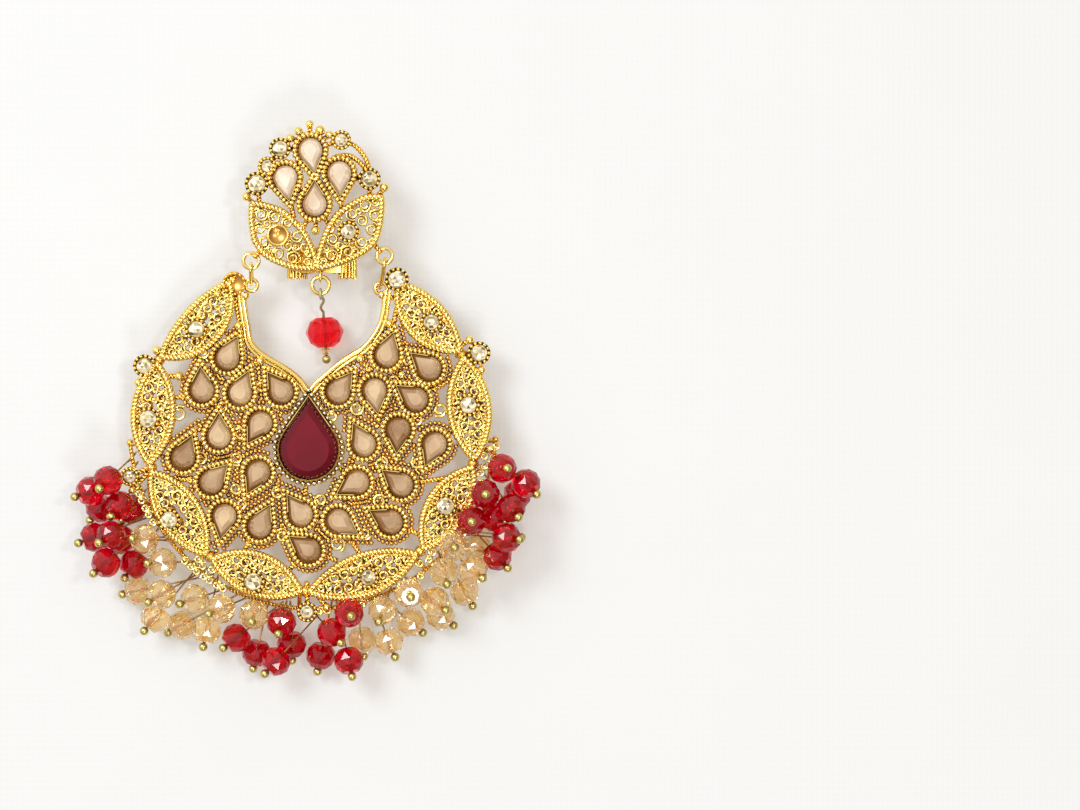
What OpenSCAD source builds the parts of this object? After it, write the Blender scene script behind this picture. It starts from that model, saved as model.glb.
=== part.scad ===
// Filigree earring, lying on its back: a pierced stud, a crescent of pear stones that two
// links hang from it, a faceted drop in the crescent's scoop, and bunches of faceted beads
// on head pins along the crescent's rim. Millimetres, +Z up, +Y towards the stud.
// The origin is under the middle of the earring, on the surface that it lies on.

/* [Crescent] */
// Radius of the crescent's rim
rim_r = 25.9; // [25.7:0.1:26.1]
// Radius of the points where two rim leaves meet
leaf_tip_r = 24; // [23.8:0.1:24.2]
// Height of the crescent's back over the surface
crescent_z = 4.4; // [4.3:0.1:4.5]
// Thickness of the crescent's pierced sheet
sheet_t = 1.2; // [1:0.1:1.3]
// Height of a setting's wall over the sheet
bezel_h = 0.9; // [0.7:0.1:1]
// Width of the smooth wires round the scoop
scoop_wire_w = 0.75; // [0.6:0.05:0.9]

/* [Stud] */
// Height of the stud's back over the surface
stud_z = 6.8; // [6.8:0.1:7]
// Thickness of the stud's pierced sheet
stud_t = 1; // [0.9:0.1:1.1]
// Radius of the ear post's free end
post_r = 0.4; // [0.35:0.05:0.45]
// Radius of the scroll nut's two curls
curl_r = 2.25; // [2.1:0.05:2.25]

/* [Stones] */
// Radius of a pear stone's round end
pear_r = 1.7; // [1.5:0.05:1.75]
// Distance from a pear stone's round centre to its tip
pear_tip = 3.2; // [2.9:0.05:3.3]
// Width of the wall that holds a pear stone
bezel_w = 0.6; // [0.5:0.05:0.7]
// Height of a pear stone
pear_h = 1.3; // [1.1:0.1:1.5]
// Radius of the centre stone's round end
main_r = 4.3; // [4.1:0.1:4.4]
// Distance from the centre stone's round centre to its tip
main_tip = 7.5; // [7.2:0.1:7.6]
// Height of the centre stone
main_h = 2.1; // [1.8:0.1:2.4]

/* [Beads] */
// Diameter of a rim bead
bead_d = 4.3; // [4:0.05:4.3]
// Thickness of a rim bead along its bore
bead_t = 3.4; // [3:0.1:3.4]
// Diameter of the centre drop's bead
drop_d = 5.4; // [5:0.1:5.4]
// Thickness of the centre drop's bead
drop_t = 4.3; // [4:0.1:4.4]
// Thickness of the small bead under it
spacer_t = 0.9; // [0.7:0.1:1]
// Radius of a head pin's wire
pin_r = 0.2; // [0.15:0.05:0.2]
// Radius of a head pin's ball
head_r = 0.65; // [0.55:0.05:0.65]

/* [Hidden] */
// Middle of the crescent's circle
mid = [1, -3.6];
// Clearance between a stone and its setting
slack = 0.12;
// Distance of the rim's chains from the middle, and the radius of their rings
chain_place = 26.5;
chain_ring = 0.8;
sheet_top = crescent_z + sheet_t;
stud_top = stud_z + stud_t;
// Width of a scroll's wire
scroll_w = 0.5;
// Width of a collet's wall
collet_w = 0.4;
// Depth of a stone's seat in the sheet, and the gap under the stone
seat = 0.2;
seat_gap = 0.05;
// How far one soldered wire or wall goes into the next
lap = 0.1;
// How far a setting's wall stands in from the edge of the sheet under it
wall_in = 0.06;
// Height of the raised edges and the scoop's upper wire, with the lap
edge_h = 0.5;
edge_w = 0.7;
// Widths of the flat wires between the settings, and of the stems under collets and balls
brace_w = 0.6;
stud_brace_w = 0.7;
stem_w = 0.9;
// Radius of the disc where two rim leaves meet
joint_r = 0.8;
gold = "goldenrod";

// Rim leaves, counter-clockwise from the left horn: start angle, end angle, outer radius,
// inner radius
leaves = [
    [118.6, 156.7, rim_r - 1.5, 17.9],
    [156.7, 194.8, rim_r, 19.4],
    [194.8, 232.2, rim_r, 19.4],
    [232.2, 267.7, rim_r, 19.4],
    [267.7, 310.8, rim_r, 19.4],
    [310.8, 346.7, rim_r, 19.4],
    [346.7, 385.3, rim_r, 19.4],
    [385.3, 419.8, rim_r - 0.5, 19]
];

// Gaps in a rim leaf: along the leaf, across it, radius
leaf_gaps = [
    [2.5, 1.15, 0.62], [2.5, -1.15, 0.62], [-2.5, 1.15, 0.62], [-2.5, -1.15, 0.62],
    [4.5, 0, 0.75], [-4.5, 0, 0.75]
];

// Pear stones of the crescent: x, y of the round centre, direction of the tip
crescent_pears = [
    [-11, 6, 64], [-14.6, 1.4, 94], [-9.2, 1, 68], [-3.3, 1.2, 125], [-12.2, -5.2, 90],
    [-17.3, -8.2, 68], [-6.3, -3.3, 238], [-13.3, -11.7, 47], [-6.6, -10.3, 243],
    [-11.4, -16.5, 260], [-6.4, -18, 64], [-0.5, -16.3, 125], [0.6, -21.4, 145],
    [11.7, 6.4, 73], [17.8, 4.5, 140], [4.8, 1.2, 54], [10, 1.4, 278], [15.9, 0.1, 145],
    [8.5, -6.3, 117], [13.4, -4.2, 266], [18.6, -6.3, 246], [7.5, -11.7, 211],
    [13.8, -12.1, 142], [4.8, -17.2, 326], [12.3, -17.4, 151]
];

// Pear stones of the stud: x, y of the round centre, direction of the tip
stud_pears = [[1, 35.5, -80], [-2.6, 31.6, -80], [5.1, 32.2, -88], [1.6, 27.8, 90]];

// The centre stone
main_pear = [0.6, -7.1, 90];

// Round stones in collets on the crescent: x, y, radius, x and y where its stem starts
crescent_rounds = [
    [-15.4, 10.1, 1.15, -14.4, 9], [-22.3, -2.7, 1.25, -21, -2.6], [-19.3, -17.1, 1.2, -18.4, -16],
    [-7.3, -25.9, 1.25, -7, -24.6], [9.1, -25.3, 1.1, 8.8, -24.2], [20.1, -15.1, 1.25, 19, -14.6],
    [23.4, -0.7, 1.2, 22.3, -1], [18.1, 11.1, 1.1, 17.4, 10.4], [-10, 16.6, 1.25, -11, 14],
    [13.2, 17.2, 1.25, 13.4, 14.6], [-22.8, 4.9, 1.15, -20.4, 5], [24.9, 6.7, 1.2, 21.6, 6.4],
    [-24.9, -10.9, 0.9, -21.8, -9.4], [0.4, -30.2, 1, 0.3, -26]
];

// The collet that has lost its stone, one on the crescent and one on the stud
empty_crescent = 8;
empty_stud = 6;

// Round stones on the stud: x, y, radius, x and y where its stem starts
stud_rounds = [
    [-3.3, 35.7, 1.1, 0, 35.7], [5.4, 36.9, 0.95, 1.5, 35.7], [-6.6, 30.7, 1.25, -3.6, 31],
    [-5.1, 33.2, 0.9, -3.2, 32], [9.4, 31.4, 1.15, 6, 31.6], [6.4, 23.9, 1.1, 6.4, 25],
    [-3.6, 23.4, 1.1, -3.6, 24.4]
];

// Balls on the crescent: x, y, radius, x and y where its stem starts
crescent_balls = [
    [-9.4, 10.6, 0.7, -10, 9], [-6.3, 5.6, 0.7, -9, 4.4], [-17.9, 3.4, 0.7, -20.5, 3.4],
    [12.1, 10.9, 0.7, 13, 9.6], [8, 5.9, 0.7, 9.4, 4], [13.9, 3.6, 0.65, 13, 4.6],
    [-12.4, 15.1, 0.65, -11.2, 14.4], [-8.4, 14.9, 0.6, -10, 14.6], [11, 15, 0.6, 12.6, 14.6],
    [-21.1, 7.1, 0.65, -19.6, 6], [-23.7, 2.5, 0.65, -22, 3.4], [23.6, 8.6, 0.65, 22, 7.6],
    [25.3, 4.3, 0.65, 23.4, 4.4], [26.6, -7, 0.65, 24, -7.6], [-24.6, -12.8, 0.6, -22.4, -10.4],
    [3.2, -29.6, 0.6, 1, -27]
];

// Balls on the stud: x, y, radius, x and y where its stem starts
stud_balls = [
    [0.9, 39.2, 0.6, 1, 37], [-0.7, 38.2, 0.65, 0.4, 37.4], [-1.9, 37.2, 0.65, 0, 36.8],
    [2.4, 38.3, 0.75, 1.4, 37.2], [3.7, 37.7, 0.6, 2, 36.6], [-8.1, 28.9, 0.65, -6, 27],
    [11.5, 30.2, 0.7, 10, 28.4], [1.7, 24.1, 0.65, 1.7, 26]
];

// Open rings outside the rim, where leaves meet: angle, distance from the middle, radius
rim_rings = [
    [229.6, 25, 0.85], [232.4, 25.4, 0.8], [235.2, 25, 0.85],
    [308.2, 25, 0.85], [311, 25.4, 0.8], [313.8, 25, 0.85],
    [344.2, 25, 0.85], [347, 25.4, 0.8], [349.8, 25, 0.85]
];

// Chains of small rings along the rim's lower edge: from angle, to angle, rings
rim_chains = [
    [194.2, 211.2, 8], [227, 241.6, 7], [267, 277.6, 5], [283.4, 285.8, 2], [303.2, 305.8, 2],
    [322.6, 326.6, 3], [350, 353.6, 2]
];

// Wires that brace the sheet between the settings: from x, y to x, y
crescent_braces = [
    [-9.9, 14.4, -9, 9], [-16, 7, -14, 1], [-21, 0, -14, 1], [-20.5, -5, -17, -8],
    [-21, -11, -13, -11.7], [-16.5, -19, -11.4, -16.5], [-9, -22, -6.4, -18], [-2, -24, 0.6, -21.4],
    [-4, 4.6, -9.2, 1], [-6.6, -10.3, -3, -9], [-0.5, -16.3, 0.6, -10],
    [13.6, 15, 12.2, 9], [16.4, 9, 17.8, 4.5], [21, 3, 17, 1], [21.5, -4, 18.6, -6.3],
    [21, -11, 13.8, -12.1], [17, -19.5, 12.3, -17.4], [8.4, -22.8, 4.8, -17.2], [0.6, -21.4, 4.6, -22.9],
    [-0.5, -16.3, 4.8, -17.2],
    [5.4, 4.6, 10, 1.4], [7.5, -11.7, 4, -9]
];

// Scroll rings between the settings: x, y, outer radius
crescent_scrolls = [
    [-14.6, 6.9, 1.3], [-17.9, -1.9, 1.4], [-6.2, 2, 1.2], [-11.8, -0.9, 1.2], [-9.2, -4.8, 1.3],
    [-14.8, -8.2, 1.2], [-9.7, -8.4, 1.3], [-4, -0.9, 1.1], [-9.8, -12.6, 1.2], [-3.8, -13.2, 1.2],
    [-3.2, -19.3, 1.3], [-9, -14.8, 1.1], [2.3, -14.3, 1.2], [4.7, -20.6, 1.4], [8.6, -19.1, 1.2],
    [10.7, -14.4, 1.3], [10.9, -9, 1.3], [16.1, -8.9, 1.2], [16, -2.9, 1.2], [19.3, -1.4, 1.3],
    [12.8, 2.8, 1.1], [14.8, 5.6, 1.1], [7.4, -1.2, 1.3], [4, -2.3, 1.1], [10.8, -1.9, 1.1]
];

// Middle line of the scoop's rim, from the left horn to the right one
scoop_line = [
    [-9, 15.4], [-8.6, 12.4], [-8.2, 10.4], [-7.9, 8.5], [-6.8, 7], [-5.1, 5.8], [-3.2, 4.7],
    [-1.5, 3.5], [-0.4, 2.4], [0.6, 1.2], [1.8, 2.4], [3.1, 3.5], [5, 5.1], [6.9, 6.4],
    [8.5, 7.4], [9.8, 8.9], [10.8, 10.6], [11.3, 12.4], [11.7, 15.6]
];

// Wires that brace the stud between its settings
stud_braces = [
    [-2.6, 31.6, -1.4, 26], [5.1, 32.2, 5.4, 26.8], [1, 35.5, -2.6, 31.6], [1, 35.5, 5.1, 32.2],
    [1.6, 27.8, -2.6, 31.6], [1.6, 27.8, 5.1, 32.2], [1.6, 27.8, -0.4, 23.8],
    [1.6, 27.8, 4, 24.4], [-6.6, 30.7, -6.2, 27.6], [9.4, 31.4, 9.4, 28.4],
    [5.4, 36.9, 8.4, 35], [8.4, 35, 9.4, 31.4], [4.6, 34.6, 7.5, 34.2], [7.5, 34.2, 9.4, 31.4],
    [-3.3, 35.7, -5.1, 33.2]
];

// The stud's two leaves
left_leaf = [
    [-7.6, 28.3], [-5.2, 27.9], [-2.9, 27.1], [-0.6, 25.1], [0.7, 23.4], [1.9, 20.3],
    [1.9, 18.6], [-0.6, 18.5], [-2.9, 19], [-5.3, 20.1], [-6.7, 21.6], [-7.4, 23], [-7.7, 25.7]
];
right_leaf = [
    [11.4, 29.1], [9, 29.1], [6.7, 28], [4.6, 26.6], [3.3, 24.7], [2.6, 22.9], [1.9, 20.3],
    [1.9, 18.6], [4, 18.9], [6.4, 19.6], [8.6, 20.7], [10.4, 22.3], [11.1, 24.3], [11.4, 26.7]
];

// Gaps in the stud's leaves: x, y, radius
left_gaps = [
    [-6, 26.4, 0.7], [-4.1, 26, 0.6], [-6.3, 24.4, 0.55], [-5.6, 22.4, 0.55], [-3.6, 20.7, 0.6],
    [-1.4, 20.1, 0.6], [0.1, 21.5, 0.6], [-0.9, 23.3, 0.55]
];
right_gaps = [
    [8.7, 27.7, 0.6], [6.9, 26.4, 0.55], [10.2, 26.2, 0.6], [9.6, 24.3, 0.6], [8.2, 22.4, 0.6],
    [6.3, 21.1, 0.6], [4, 20.5, 0.6], [4.2, 22.8, 0.6]
];

// Rim beads: x, y, z of the middle, and the angle on the rim where the pin's eye hangs
left_red = [
    [-27.7, -11.4, 8.5, 190], [-30.6, -13, 5.6, 195.5], [-29.6, -15.5, 2.2, 193],
    [-26.3, -15, 6.3, 198], [-25.1, -15.6, 2.2, 202], [-30.1, -19.6, 5.1, 209.5],
    [-26.6, -20, 2.5, 217.5], [-28.2, -23.2, 6.8, 211.5], [-24.5, -23.5, 4.4, 213.5],
    [-27.3, -19.2, 8.6, 207.6]
];
left_champagne = [
    [-22.7, -19.8, 6.7, 219], [-20.3, -23.2, 5.3, 228], [-24.1, -27.4, 2.3, 235.2],
    [-20.3, -27.7, 6.5, 232.8], [-21.5, -31.2, 4.3, 231], [-17.8, -32.3, 2.2, 246.5],
    [-15.7, -28.4, 5.1, 242.5], [-14.1, -33, 4.4, 238.5], [-11.8, -29.7, 6.5, 249.5],
    [-7.1, -30.5, 7.4, 252.5]
];
bottom_red = [
    [-9.8, -34, 4.8, 259.2], [-7.1, -36.3, 2.2, 255.9], [-4.1, -37.3, 5.5, 273.5],
    [-3.3, -31.7, 5.5, 261.5], [-2.1, -35.1, 2.2, 263], [2.1, -36.7, 2.2, 275.6],
    [3.9, -33.1, 6.2, 269.3], [6.3, -37.2, 5.3, 277.8], [6.5, -30.2, 8.4, 280]
];
right_champagne = [
    [11.2, -30, 6, 294.8], [8, -34.5, 2.2, 284], [12, -34.6, 4, 289],
    [15, -27.4, 8, 300.2], [15, -31.9, 2.2, 291.5], [18.6, -28.7, 5.9, 302],
    [19.3, -31, 2.2, 298.4], [19.9, -24.6, 5.2, 314], [22.8, -27.5, 2.6, 315.5],
    [24.1, -24.2, 7.4, 317.5], [21.4, -20.8, 8.5, 319.5], [24.6, -21.3, 2.2, 321]
];
right_red = [
    [28.2, -9.7, 7.8, 346.5], [31.6, -11.9, 6, 351.5], [30.3, -13.6, 2.2, 336.5],
    [25.8, -13.3, 8.6, 338.5], [23.9, -17.1, 8.6, 329.6], [29.5, -15.3, 8.5, 343],
    [27, -16.7, 5.2, 332.5], [28.6, -19.4, 2.2, 325.1], [28.9, -19.6, 8.5, 323.5],
    [27.5, -22.3, 5.3, 327.8]
];

// The rail under the rim that the head pins hang on
rail_r = 26.3;
rail_wire = 0.35;
rail_z = crescent_z - 1.3;
rail_from = 185.5;
rail_to = 355.5;
// Angles of the struts that hold the rail under the sheet, and their width
rail_struts = [186, 205.7, 223.5, 265.8, 308, 355];
strut_w = 0.7;

// Eyes of the pins, and the rings and links between stud and crescent
eye_r = 0.9;
stud_ring_r = 1.1;
horn_ring_r = 0.85;
ring_wire = 0.28;
link_wire = 0.25;
link_end_r = 0.75;
stud_ring_z = stud_z + 0.4;
horn_ring_z = crescent_z + 0.75;
left_ring = [-7.5, 19.8];
right_ring = [11.5, 20.5];
left_horn_ring = [-7.6, 16.4];
right_horn_ring = [10.9, 15.9];

// Post and nut, bail, ring and centre drop
post = [2.4, 19.9];
// Length of the post's free end, which is a true round
post_tip_len = 1.5;
nut_len = 5.2;
bail = [2.4, 17.55];
bail_r = 0.7;
bail_wire = 0.22;
drop_ring_r = 1.22;
drop_ring_wire = 0.3;
drop_head = [2.95, 5.85, 2.73];
drop_eye_r = 0.65;
// Where the drop pin's steep neck ends and its level part begins
drop_knee = [2.5, 12.7, 2.73];
// Middle of the drop pin's eye, which hangs on the ring
drop_eye = [bail[0], bail[1] - 2 * drop_ring_r, stud_ring_z];
drop_neck_len = norm(drop_knee - drop_eye);
drop_pin_len = norm(drop_head - drop_knee);

$fn = 48;

// Flat shapes

// Pear outline with its tip along +X. The sides start inside the circle and cut it, because
// sides that only touch it leave slivers.
module pear(r, tip) {
    side_r = r * 0.97;
    a = acos(side_r / tip);
    circle(r = r);
    polygon([[side_r * cos(a), side_r * sin(a)], [tip, 0], [side_r * cos(a), -side_r * sin(a)]]);
}

// Straight wire of width w between two points
module bar(from, to, w) {
    len = norm(to - from);
    translate(from)
        rotate([0, 0, atan2(to[1] - from[1], to[0] - from[0])])
            translate([0, -w / 2]) square([len, w]);
}

// Almond between a leaf's two tips: two arcs, moved in from the outline by inset
module almond(leaf, inset) {
    half = (leaf[1] - leaf[0]) / 2;
    c = leaf_tip_r * sin(half);
    chord_r = leaf_tip_r * cos(half);
    out_s = leaf[2] - chord_r;
    in_s = chord_r - leaf[3];
    out_r = (c * c + out_s * out_s) / (2 * out_s);
    in_r = (c * c + in_s * in_s) / (2 * in_s);
    intersection() {
        translate([leaf[2] - out_r, 0]) circle(r = out_r - inset, $fn = 96);
        translate([leaf[3] + in_r, 0]) circle(r = in_r - inset, $fn = 96);
    }
}

// Moves a leaf's drawing from its own middle line to the rim
module on_rim(leaf) {
    translate(mid) rotate([0, 0, (leaf[0] + leaf[1]) / 2]) children();
}

// Direction of a line at its point i, from the points on both sides
function along(line, i) =
    let (a = line[max(0, i - 1)], b = line[min(len(line) - 1, i + 1)], d = b - a) d / norm(d);

// The points of a line, moved sideways by w
function beside(line, w) =
    [for (i = [0 : len(line) - 1]) let (d = along(line, i)) line[i] + w * [-d[1], d[0]]];

// Wire of width w along a line
module ribbon(line, w) {
    last = len(line) - 1;
    right_side = beside(line, -w / 2);
    polygon(concat(beside(line, w / 2), [for (i = [last : -1 : 0]) right_side[i]]));
}

// Solid shapes

// Outline of a pear stone's setting, moved in by inset
module pear_seat(p, r, tip, inset) {
    translate([p[0], p[1]]) rotate([0, 0, p[2]])
        pear(r + slack + bezel_w - inset, tip + (slack + bezel_w - inset) * 2);
}

// Wall of a pear stone's setting, on the sheet
module pear_wall(p, r, tip, top) {
    translate([0, 0, top - lap]) linear_extrude(bezel_h + lap) pear_seat(p, r, tip, wall_in);
}

// Room for a pear stone in its setting, open above
module pear_pocket(p, r, tip, top) {
    translate([p[0], p[1], top - seat]) rotate([0, 0, p[2]])
        linear_extrude(bezel_h * 2) pear(r + slack, tip + slack * 2);
}

// Wall of a round stone's collet, on the sheet
module collet_wall(p, top) {
    translate([p[0], p[1], top - lap])
        cylinder(r = p[2] + slack + collet_w - wall_in, h = bezel_h + lap);
}

// Room for a round stone in its collet, open above
module collet_pocket(p, top) {
    translate([p[0], p[1], top - seat]) cylinder(r = p[2] + slack, h = bezel_h * 2);
}

// Ball sunk a little into the sheet, with its seam turned away from the sheet's faces
module granule(p, top) {
    translate([p[0], p[1], top - 0.3 + p[2] * 0.55]) rotate([35, 20, 110]) sphere(r = p[2]);
}

// Ring lying flat
module flat_ring(p, z, r, wire) {
    translate([p[0], p[1], z]) rotate_extrude() translate([r, 0]) circle(r = wire, $fn = 24);
}

// Long link in an upright plane, round the wires at two points
module link(a, b) {
    d = b - a;
    len = norm(d);
    turn = atan2(d[1], d[0]);
    slope = atan2(d[2], norm([d[0], d[1]]));
    translate(a) rotate([0, -slope, turn]) rotate([90, 0, 0]) {
        rotate([0, 0, 90]) rotate_extrude(angle = 180)
            translate([link_end_r, 0]) circle(r = link_wire, $fn = 24);
        translate([len, 0, 0]) rotate([0, 0, -90]) rotate_extrude(angle = 180)
            translate([link_end_r, 0]) circle(r = link_wire, $fn = 24);
        for (side = [-1, 1])
            translate([0, side * link_end_r, 0]) rotate([0, 90, 0]) cylinder(r = link_wire, h = len);
    }
}

// Outline of a cut pear: points of the round end and the tip
function pear_points(r, tip, n) =
    let (a = acos(r / tip), step = (360 - 2 * a) / n)
    concat([[tip, 0]], [for (i = [0 : n]) [r * cos(a + i * step), r * sin(a + i * step)]]);

// Cut pear stone: pavilion, girdle, crown and table
module pear_stone(p, z, r, tip, h, table, n) {
    translate([p[0], p[1], z]) rotate([0, 0, p[2]]) hull() {
        linear_extrude(0.01) polygon(pear_points(r * 0.8, tip * 0.8, n));
        translate([0, 0, h * 0.3]) linear_extrude(h * 0.15) polygon(pear_points(r, tip, n));
        linear_extrude(h) polygon(pear_points(r * table, tip * table, n));
    }
}

// Cut round stone
module round_stone(p, z) {
    r = p[2];
    translate([p[0], p[1], z]) hull() {
        cylinder(r = r * 0.45, h = 0.01, $fn = 8);
        translate([0, 0, 0.5]) cylinder(r = r, h = 0.12, $fn = 8);
        rotate([0, 0, 22.5]) cylinder(r = r * 0.6, h = 1.1, $fn = 8);
    }
}

// Faceted bead with its bore along +X
module rondelle(d, t, bore) {
    rotate([0, 90, 0]) rotate_extrude($fn = 12)
        polygon([
            [bore, -t / 2], [d * 0.3, -t / 2], [d / 2, -t * 0.12],
            [d / 2, t * 0.12], [d * 0.3, t / 2], [bore, t / 2]
        ]);
}

// Where a bead's pin hangs on the rail
function eye_of(b) =
    [mid[0] + rail_r * cos(b[3]), mid[1] + rail_r * sin(b[3]), rail_z];

// Puts children at a bead's pin, with the pin along +X and the eye at the origin
module on_pin(b) {
    e = eye_of(b);
    d = [b[0], b[1], b[2]] - e;
    translate(e) rotate([0, -asin(d[2] / norm(d)), atan2(d[1], d[0])]) children();
}

function pin_len(b) = norm([b[0], b[1], b[2]] - eye_of(b));

module beads(bunch, tint) {
    color(tint)
        for (b = bunch)
            on_pin(b) translate([pin_len(b), 0, 0]) rondelle(bead_d, bead_t, pin_r + 0.12);
}

// Head pins: eye, wire and ball
module pins(bunch) {
    color(gold)
        for (b = bunch) {
            ball_at = pin_len(b) + bead_t / 2 + head_r + 0.02;
            on_pin(b) {
                rotate([90, 0, 0]) rotate_extrude()
                    translate([eye_r, 0]) circle(r = pin_r, $fn = 16);
                translate([eye_r, 0, 0]) rotate([0, 90, 0])
                    cylinder(r = pin_r, h = ball_at - eye_r, $fn = 24);
                translate([ball_at, 0, 0]) sphere(r = head_r);
            }
        }
}

// Sub-parts

module crescent_sheet() {
    for (leaf = leaves)
        on_rim(leaf)
            difference() {
                almond(leaf, 0);
                for (g = leaf_gaps)
                    translate([leaf_tip_r * cos((leaf[1] - leaf[0]) / 2) + g[1], g[0]]) circle(r = g[2]);
            }
    for (leaf = leaves)
        translate(mid) rotate([0, 0, leaf[0]]) translate([leaf_tip_r - 0.3, 0]) circle(r = joint_r);
    for (g = rim_rings)
        translate(mid) rotate([0, 0, g[0]]) translate([g[1], 0]) difference() {
            circle(r = g[2]);
            circle(r = g[2] - scroll_w);
        }
    for (c = rim_chains, k = [0 : c[2] - 1])
        translate(mid) rotate([0, 0, c[0] + (c[1] - c[0]) * k / (c[2] - 1)])
            translate([chain_place, 0]) difference() {
                circle(r = chain_ring);
                circle(r = chain_ring - scroll_w);
            }
    for (b = crescent_braces) bar([b[0], b[1]], [b[2], b[3]], brace_w);
    for (c = crescent_scrolls)
        translate([c[0], c[1]]) difference() {
            circle(r = c[2]);
            circle(r = c[2] - scroll_w);
        }
    for (p = concat(crescent_rounds, crescent_balls)) bar([p[3], p[4]], [p[0], p[1]], stem_w);
    ribbon(scoop_line, scoop_wire_w * 1.8);
    for (p = crescent_pears) pear_seat(p, pear_r, pear_tip, 0);
    pear_seat(main_pear, main_r, main_tip, 0);
    for (p = crescent_rounds) translate([p[0], p[1]]) circle(r = p[2] + slack + collet_w);
}

// Post that holds the rail under the sheet
module rail_strut(a) {
    translate([mid[0], mid[1], rail_z - rail_wire / 2]) rotate([0, 0, a])
        translate([leaf_tip_r - 0.6, -strut_w / 2, 0])
            cube([rail_r - leaf_tip_r + 0.7, strut_w, crescent_z - rail_z + 0.5]);
}

module crescent_plate() {
    color(gold) {
        difference() {
            union() {
                translate([0, 0, crescent_z]) linear_extrude(sheet_t) crescent_sheet();
                for (leaf = leaves)
                    translate([0, 0, sheet_top - lap]) linear_extrude(edge_h) on_rim(leaf)
                        difference() {
                            almond(leaf, wall_in);
                            almond(leaf, edge_w);
                        }
                translate([0, 0, sheet_top - lap])
                    linear_extrude(edge_h) ribbon(scoop_line, scoop_wire_w);
                for (p = crescent_pears) pear_wall(p, pear_r, pear_tip, sheet_top);
                pear_wall(main_pear, main_r, main_tip, sheet_top);
                for (p = crescent_rounds) collet_wall(p, sheet_top);
                for (p = crescent_balls) granule(p, sheet_top);
            }
            for (p = crescent_pears) pear_pocket(p, pear_r, pear_tip, sheet_top);
            pear_pocket(main_pear, main_r, main_tip, sheet_top);
            for (p = crescent_rounds) collet_pocket(p, sheet_top);
        }
        flat_ring(left_horn_ring, horn_ring_z, horn_ring_r, ring_wire);
        flat_ring(right_horn_ring, horn_ring_z, horn_ring_r, ring_wire);
        translate([mid[0], mid[1], rail_z]) rotate([0, 0, rail_from])
            rotate_extrude(angle = rail_to - rail_from)
                translate([rail_r, 0]) circle(r = rail_wire, $fn = 24);
        for (a = rail_struts) rail_strut(a);
    }
}

module stud_sheet() {
    difference() {
        union() {
            polygon(left_leaf);
            polygon(right_leaf);
        }
        for (g = concat(left_gaps, right_gaps)) translate([g[0], g[1]]) circle(r = g[2]);
    }
    for (b = stud_braces) bar([b[0], b[1]], [b[2], b[3]], stud_brace_w);
    for (p = concat(stud_rounds, stud_balls)) bar([p[3], p[4]], [p[0], p[1]], stem_w);
    bar(left_ring + [0.5, 0.5], [-5.2, 22.2], stem_w);
    bar(right_ring + [-0.5, 0.5], [9.6, 22.6], stem_w);
    bar([bail[0], bail[1] + bail_r], [bail[0], 20.5], stem_w * 1.2);
    for (p = stud_pears) pear_seat(p, pear_r, pear_tip, 0);
    for (p = stud_rounds) translate([p[0], p[1]]) circle(r = p[2] + slack + collet_w);
}

// Raised edge of a stud leaf, shrunk towards the leaf's middle
module leaf_edge(leaf, centre) {
    translate([centre[0], centre[1], stud_top - lap]) linear_extrude(edge_h)
        difference() {
            translate(-centre) polygon(leaf);
            scale(0.84) translate(-centre) polygon(leaf);
        }
}

module stud_plate() {
    color(gold) {
        difference() {
            union() {
                translate([0, 0, stud_z]) linear_extrude(stud_t) stud_sheet();
                leaf_edge(left_leaf, [-2.8, 23.4]);
                leaf_edge(right_leaf, [6.4, 24]);
                for (p = stud_pears) pear_wall(p, pear_r, pear_tip, stud_top);
                for (p = stud_rounds) collet_wall(p, stud_top);
                for (p = stud_balls) granule(p, stud_top);
            }
            for (p = stud_pears) pear_pocket(p, pear_r, pear_tip, stud_top);
            for (p = stud_rounds) collet_pocket(p, stud_top);
        }
        flat_ring(left_ring, stud_ring_z, stud_ring_r, ring_wire);
        flat_ring(right_ring, stud_ring_z, stud_ring_r, ring_wire);
        translate([bail[0], bail[1], stud_ring_z]) rotate([0, 90, 0])
            rotate_extrude() translate([bail_r, 0]) circle(r = bail_wire, $fn = 24);
    }
}

// The free end is a true round, which a nut slides on. The rest of the wire has twelve sides.
module ear_post() {
    color(gold) translate([post[0], post[1], 0]) {
        cylinder(r = post_r, h = post_tip_len);
        cylinder(r = post_r - 0.02, h = stud_z - 0.05, $fn = 12);
    }
}

module scroll_nut() {
    top = stud_z - 0.25;
    color(gold) translate([post[0], post[1], 0]) {
        difference() {
            translate([-3.2, -1.1, top - 0.4]) cube([6.4, 2.2, 0.4]);
            translate([0, 0, top - 1]) cylinder(r = post_r + 0.1, h = 2);
        }
        for (side = [-1, 1])
            translate([side * (curl_r + post_r + 0.15), nut_len / 2, top - curl_r - 0.3])
                rotate([90, 0, 0])
                    difference() {
                        cylinder(r = curl_r, h = nut_len);
                        translate([0, 0, -1]) cylinder(r = curl_r - 0.4, h = nut_len + 2);
                    }
    }
}

module link_left() {
    color(gold)
        link([left_ring[0], left_ring[1] - stud_ring_r, stud_ring_z],
             [left_horn_ring[0], left_horn_ring[1] + horn_ring_r, horn_ring_z]);
}

module link_right() {
    color(gold)
        link([right_ring[0], right_ring[1] - stud_ring_r, stud_ring_z],
             [right_horn_ring[0], right_horn_ring[1] + horn_ring_r, horn_ring_z]);
}

module drop_ring() {
    color(gold)
        flat_ring([bail[0], bail[1] - drop_ring_r], stud_ring_z, drop_ring_r, drop_ring_wire);
}

// Puts children at one point, with their +X towards another
module toward(from, to) {
    d = to - from;
    translate(from) rotate([0, -asin(d[2] / norm(d)), atan2(d[1], d[0])]) children();
}

// Puts children on the level part of the drop's pin, with the knee at the origin
module on_drop() {
    toward(drop_knee, drop_head) children();
}

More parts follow.
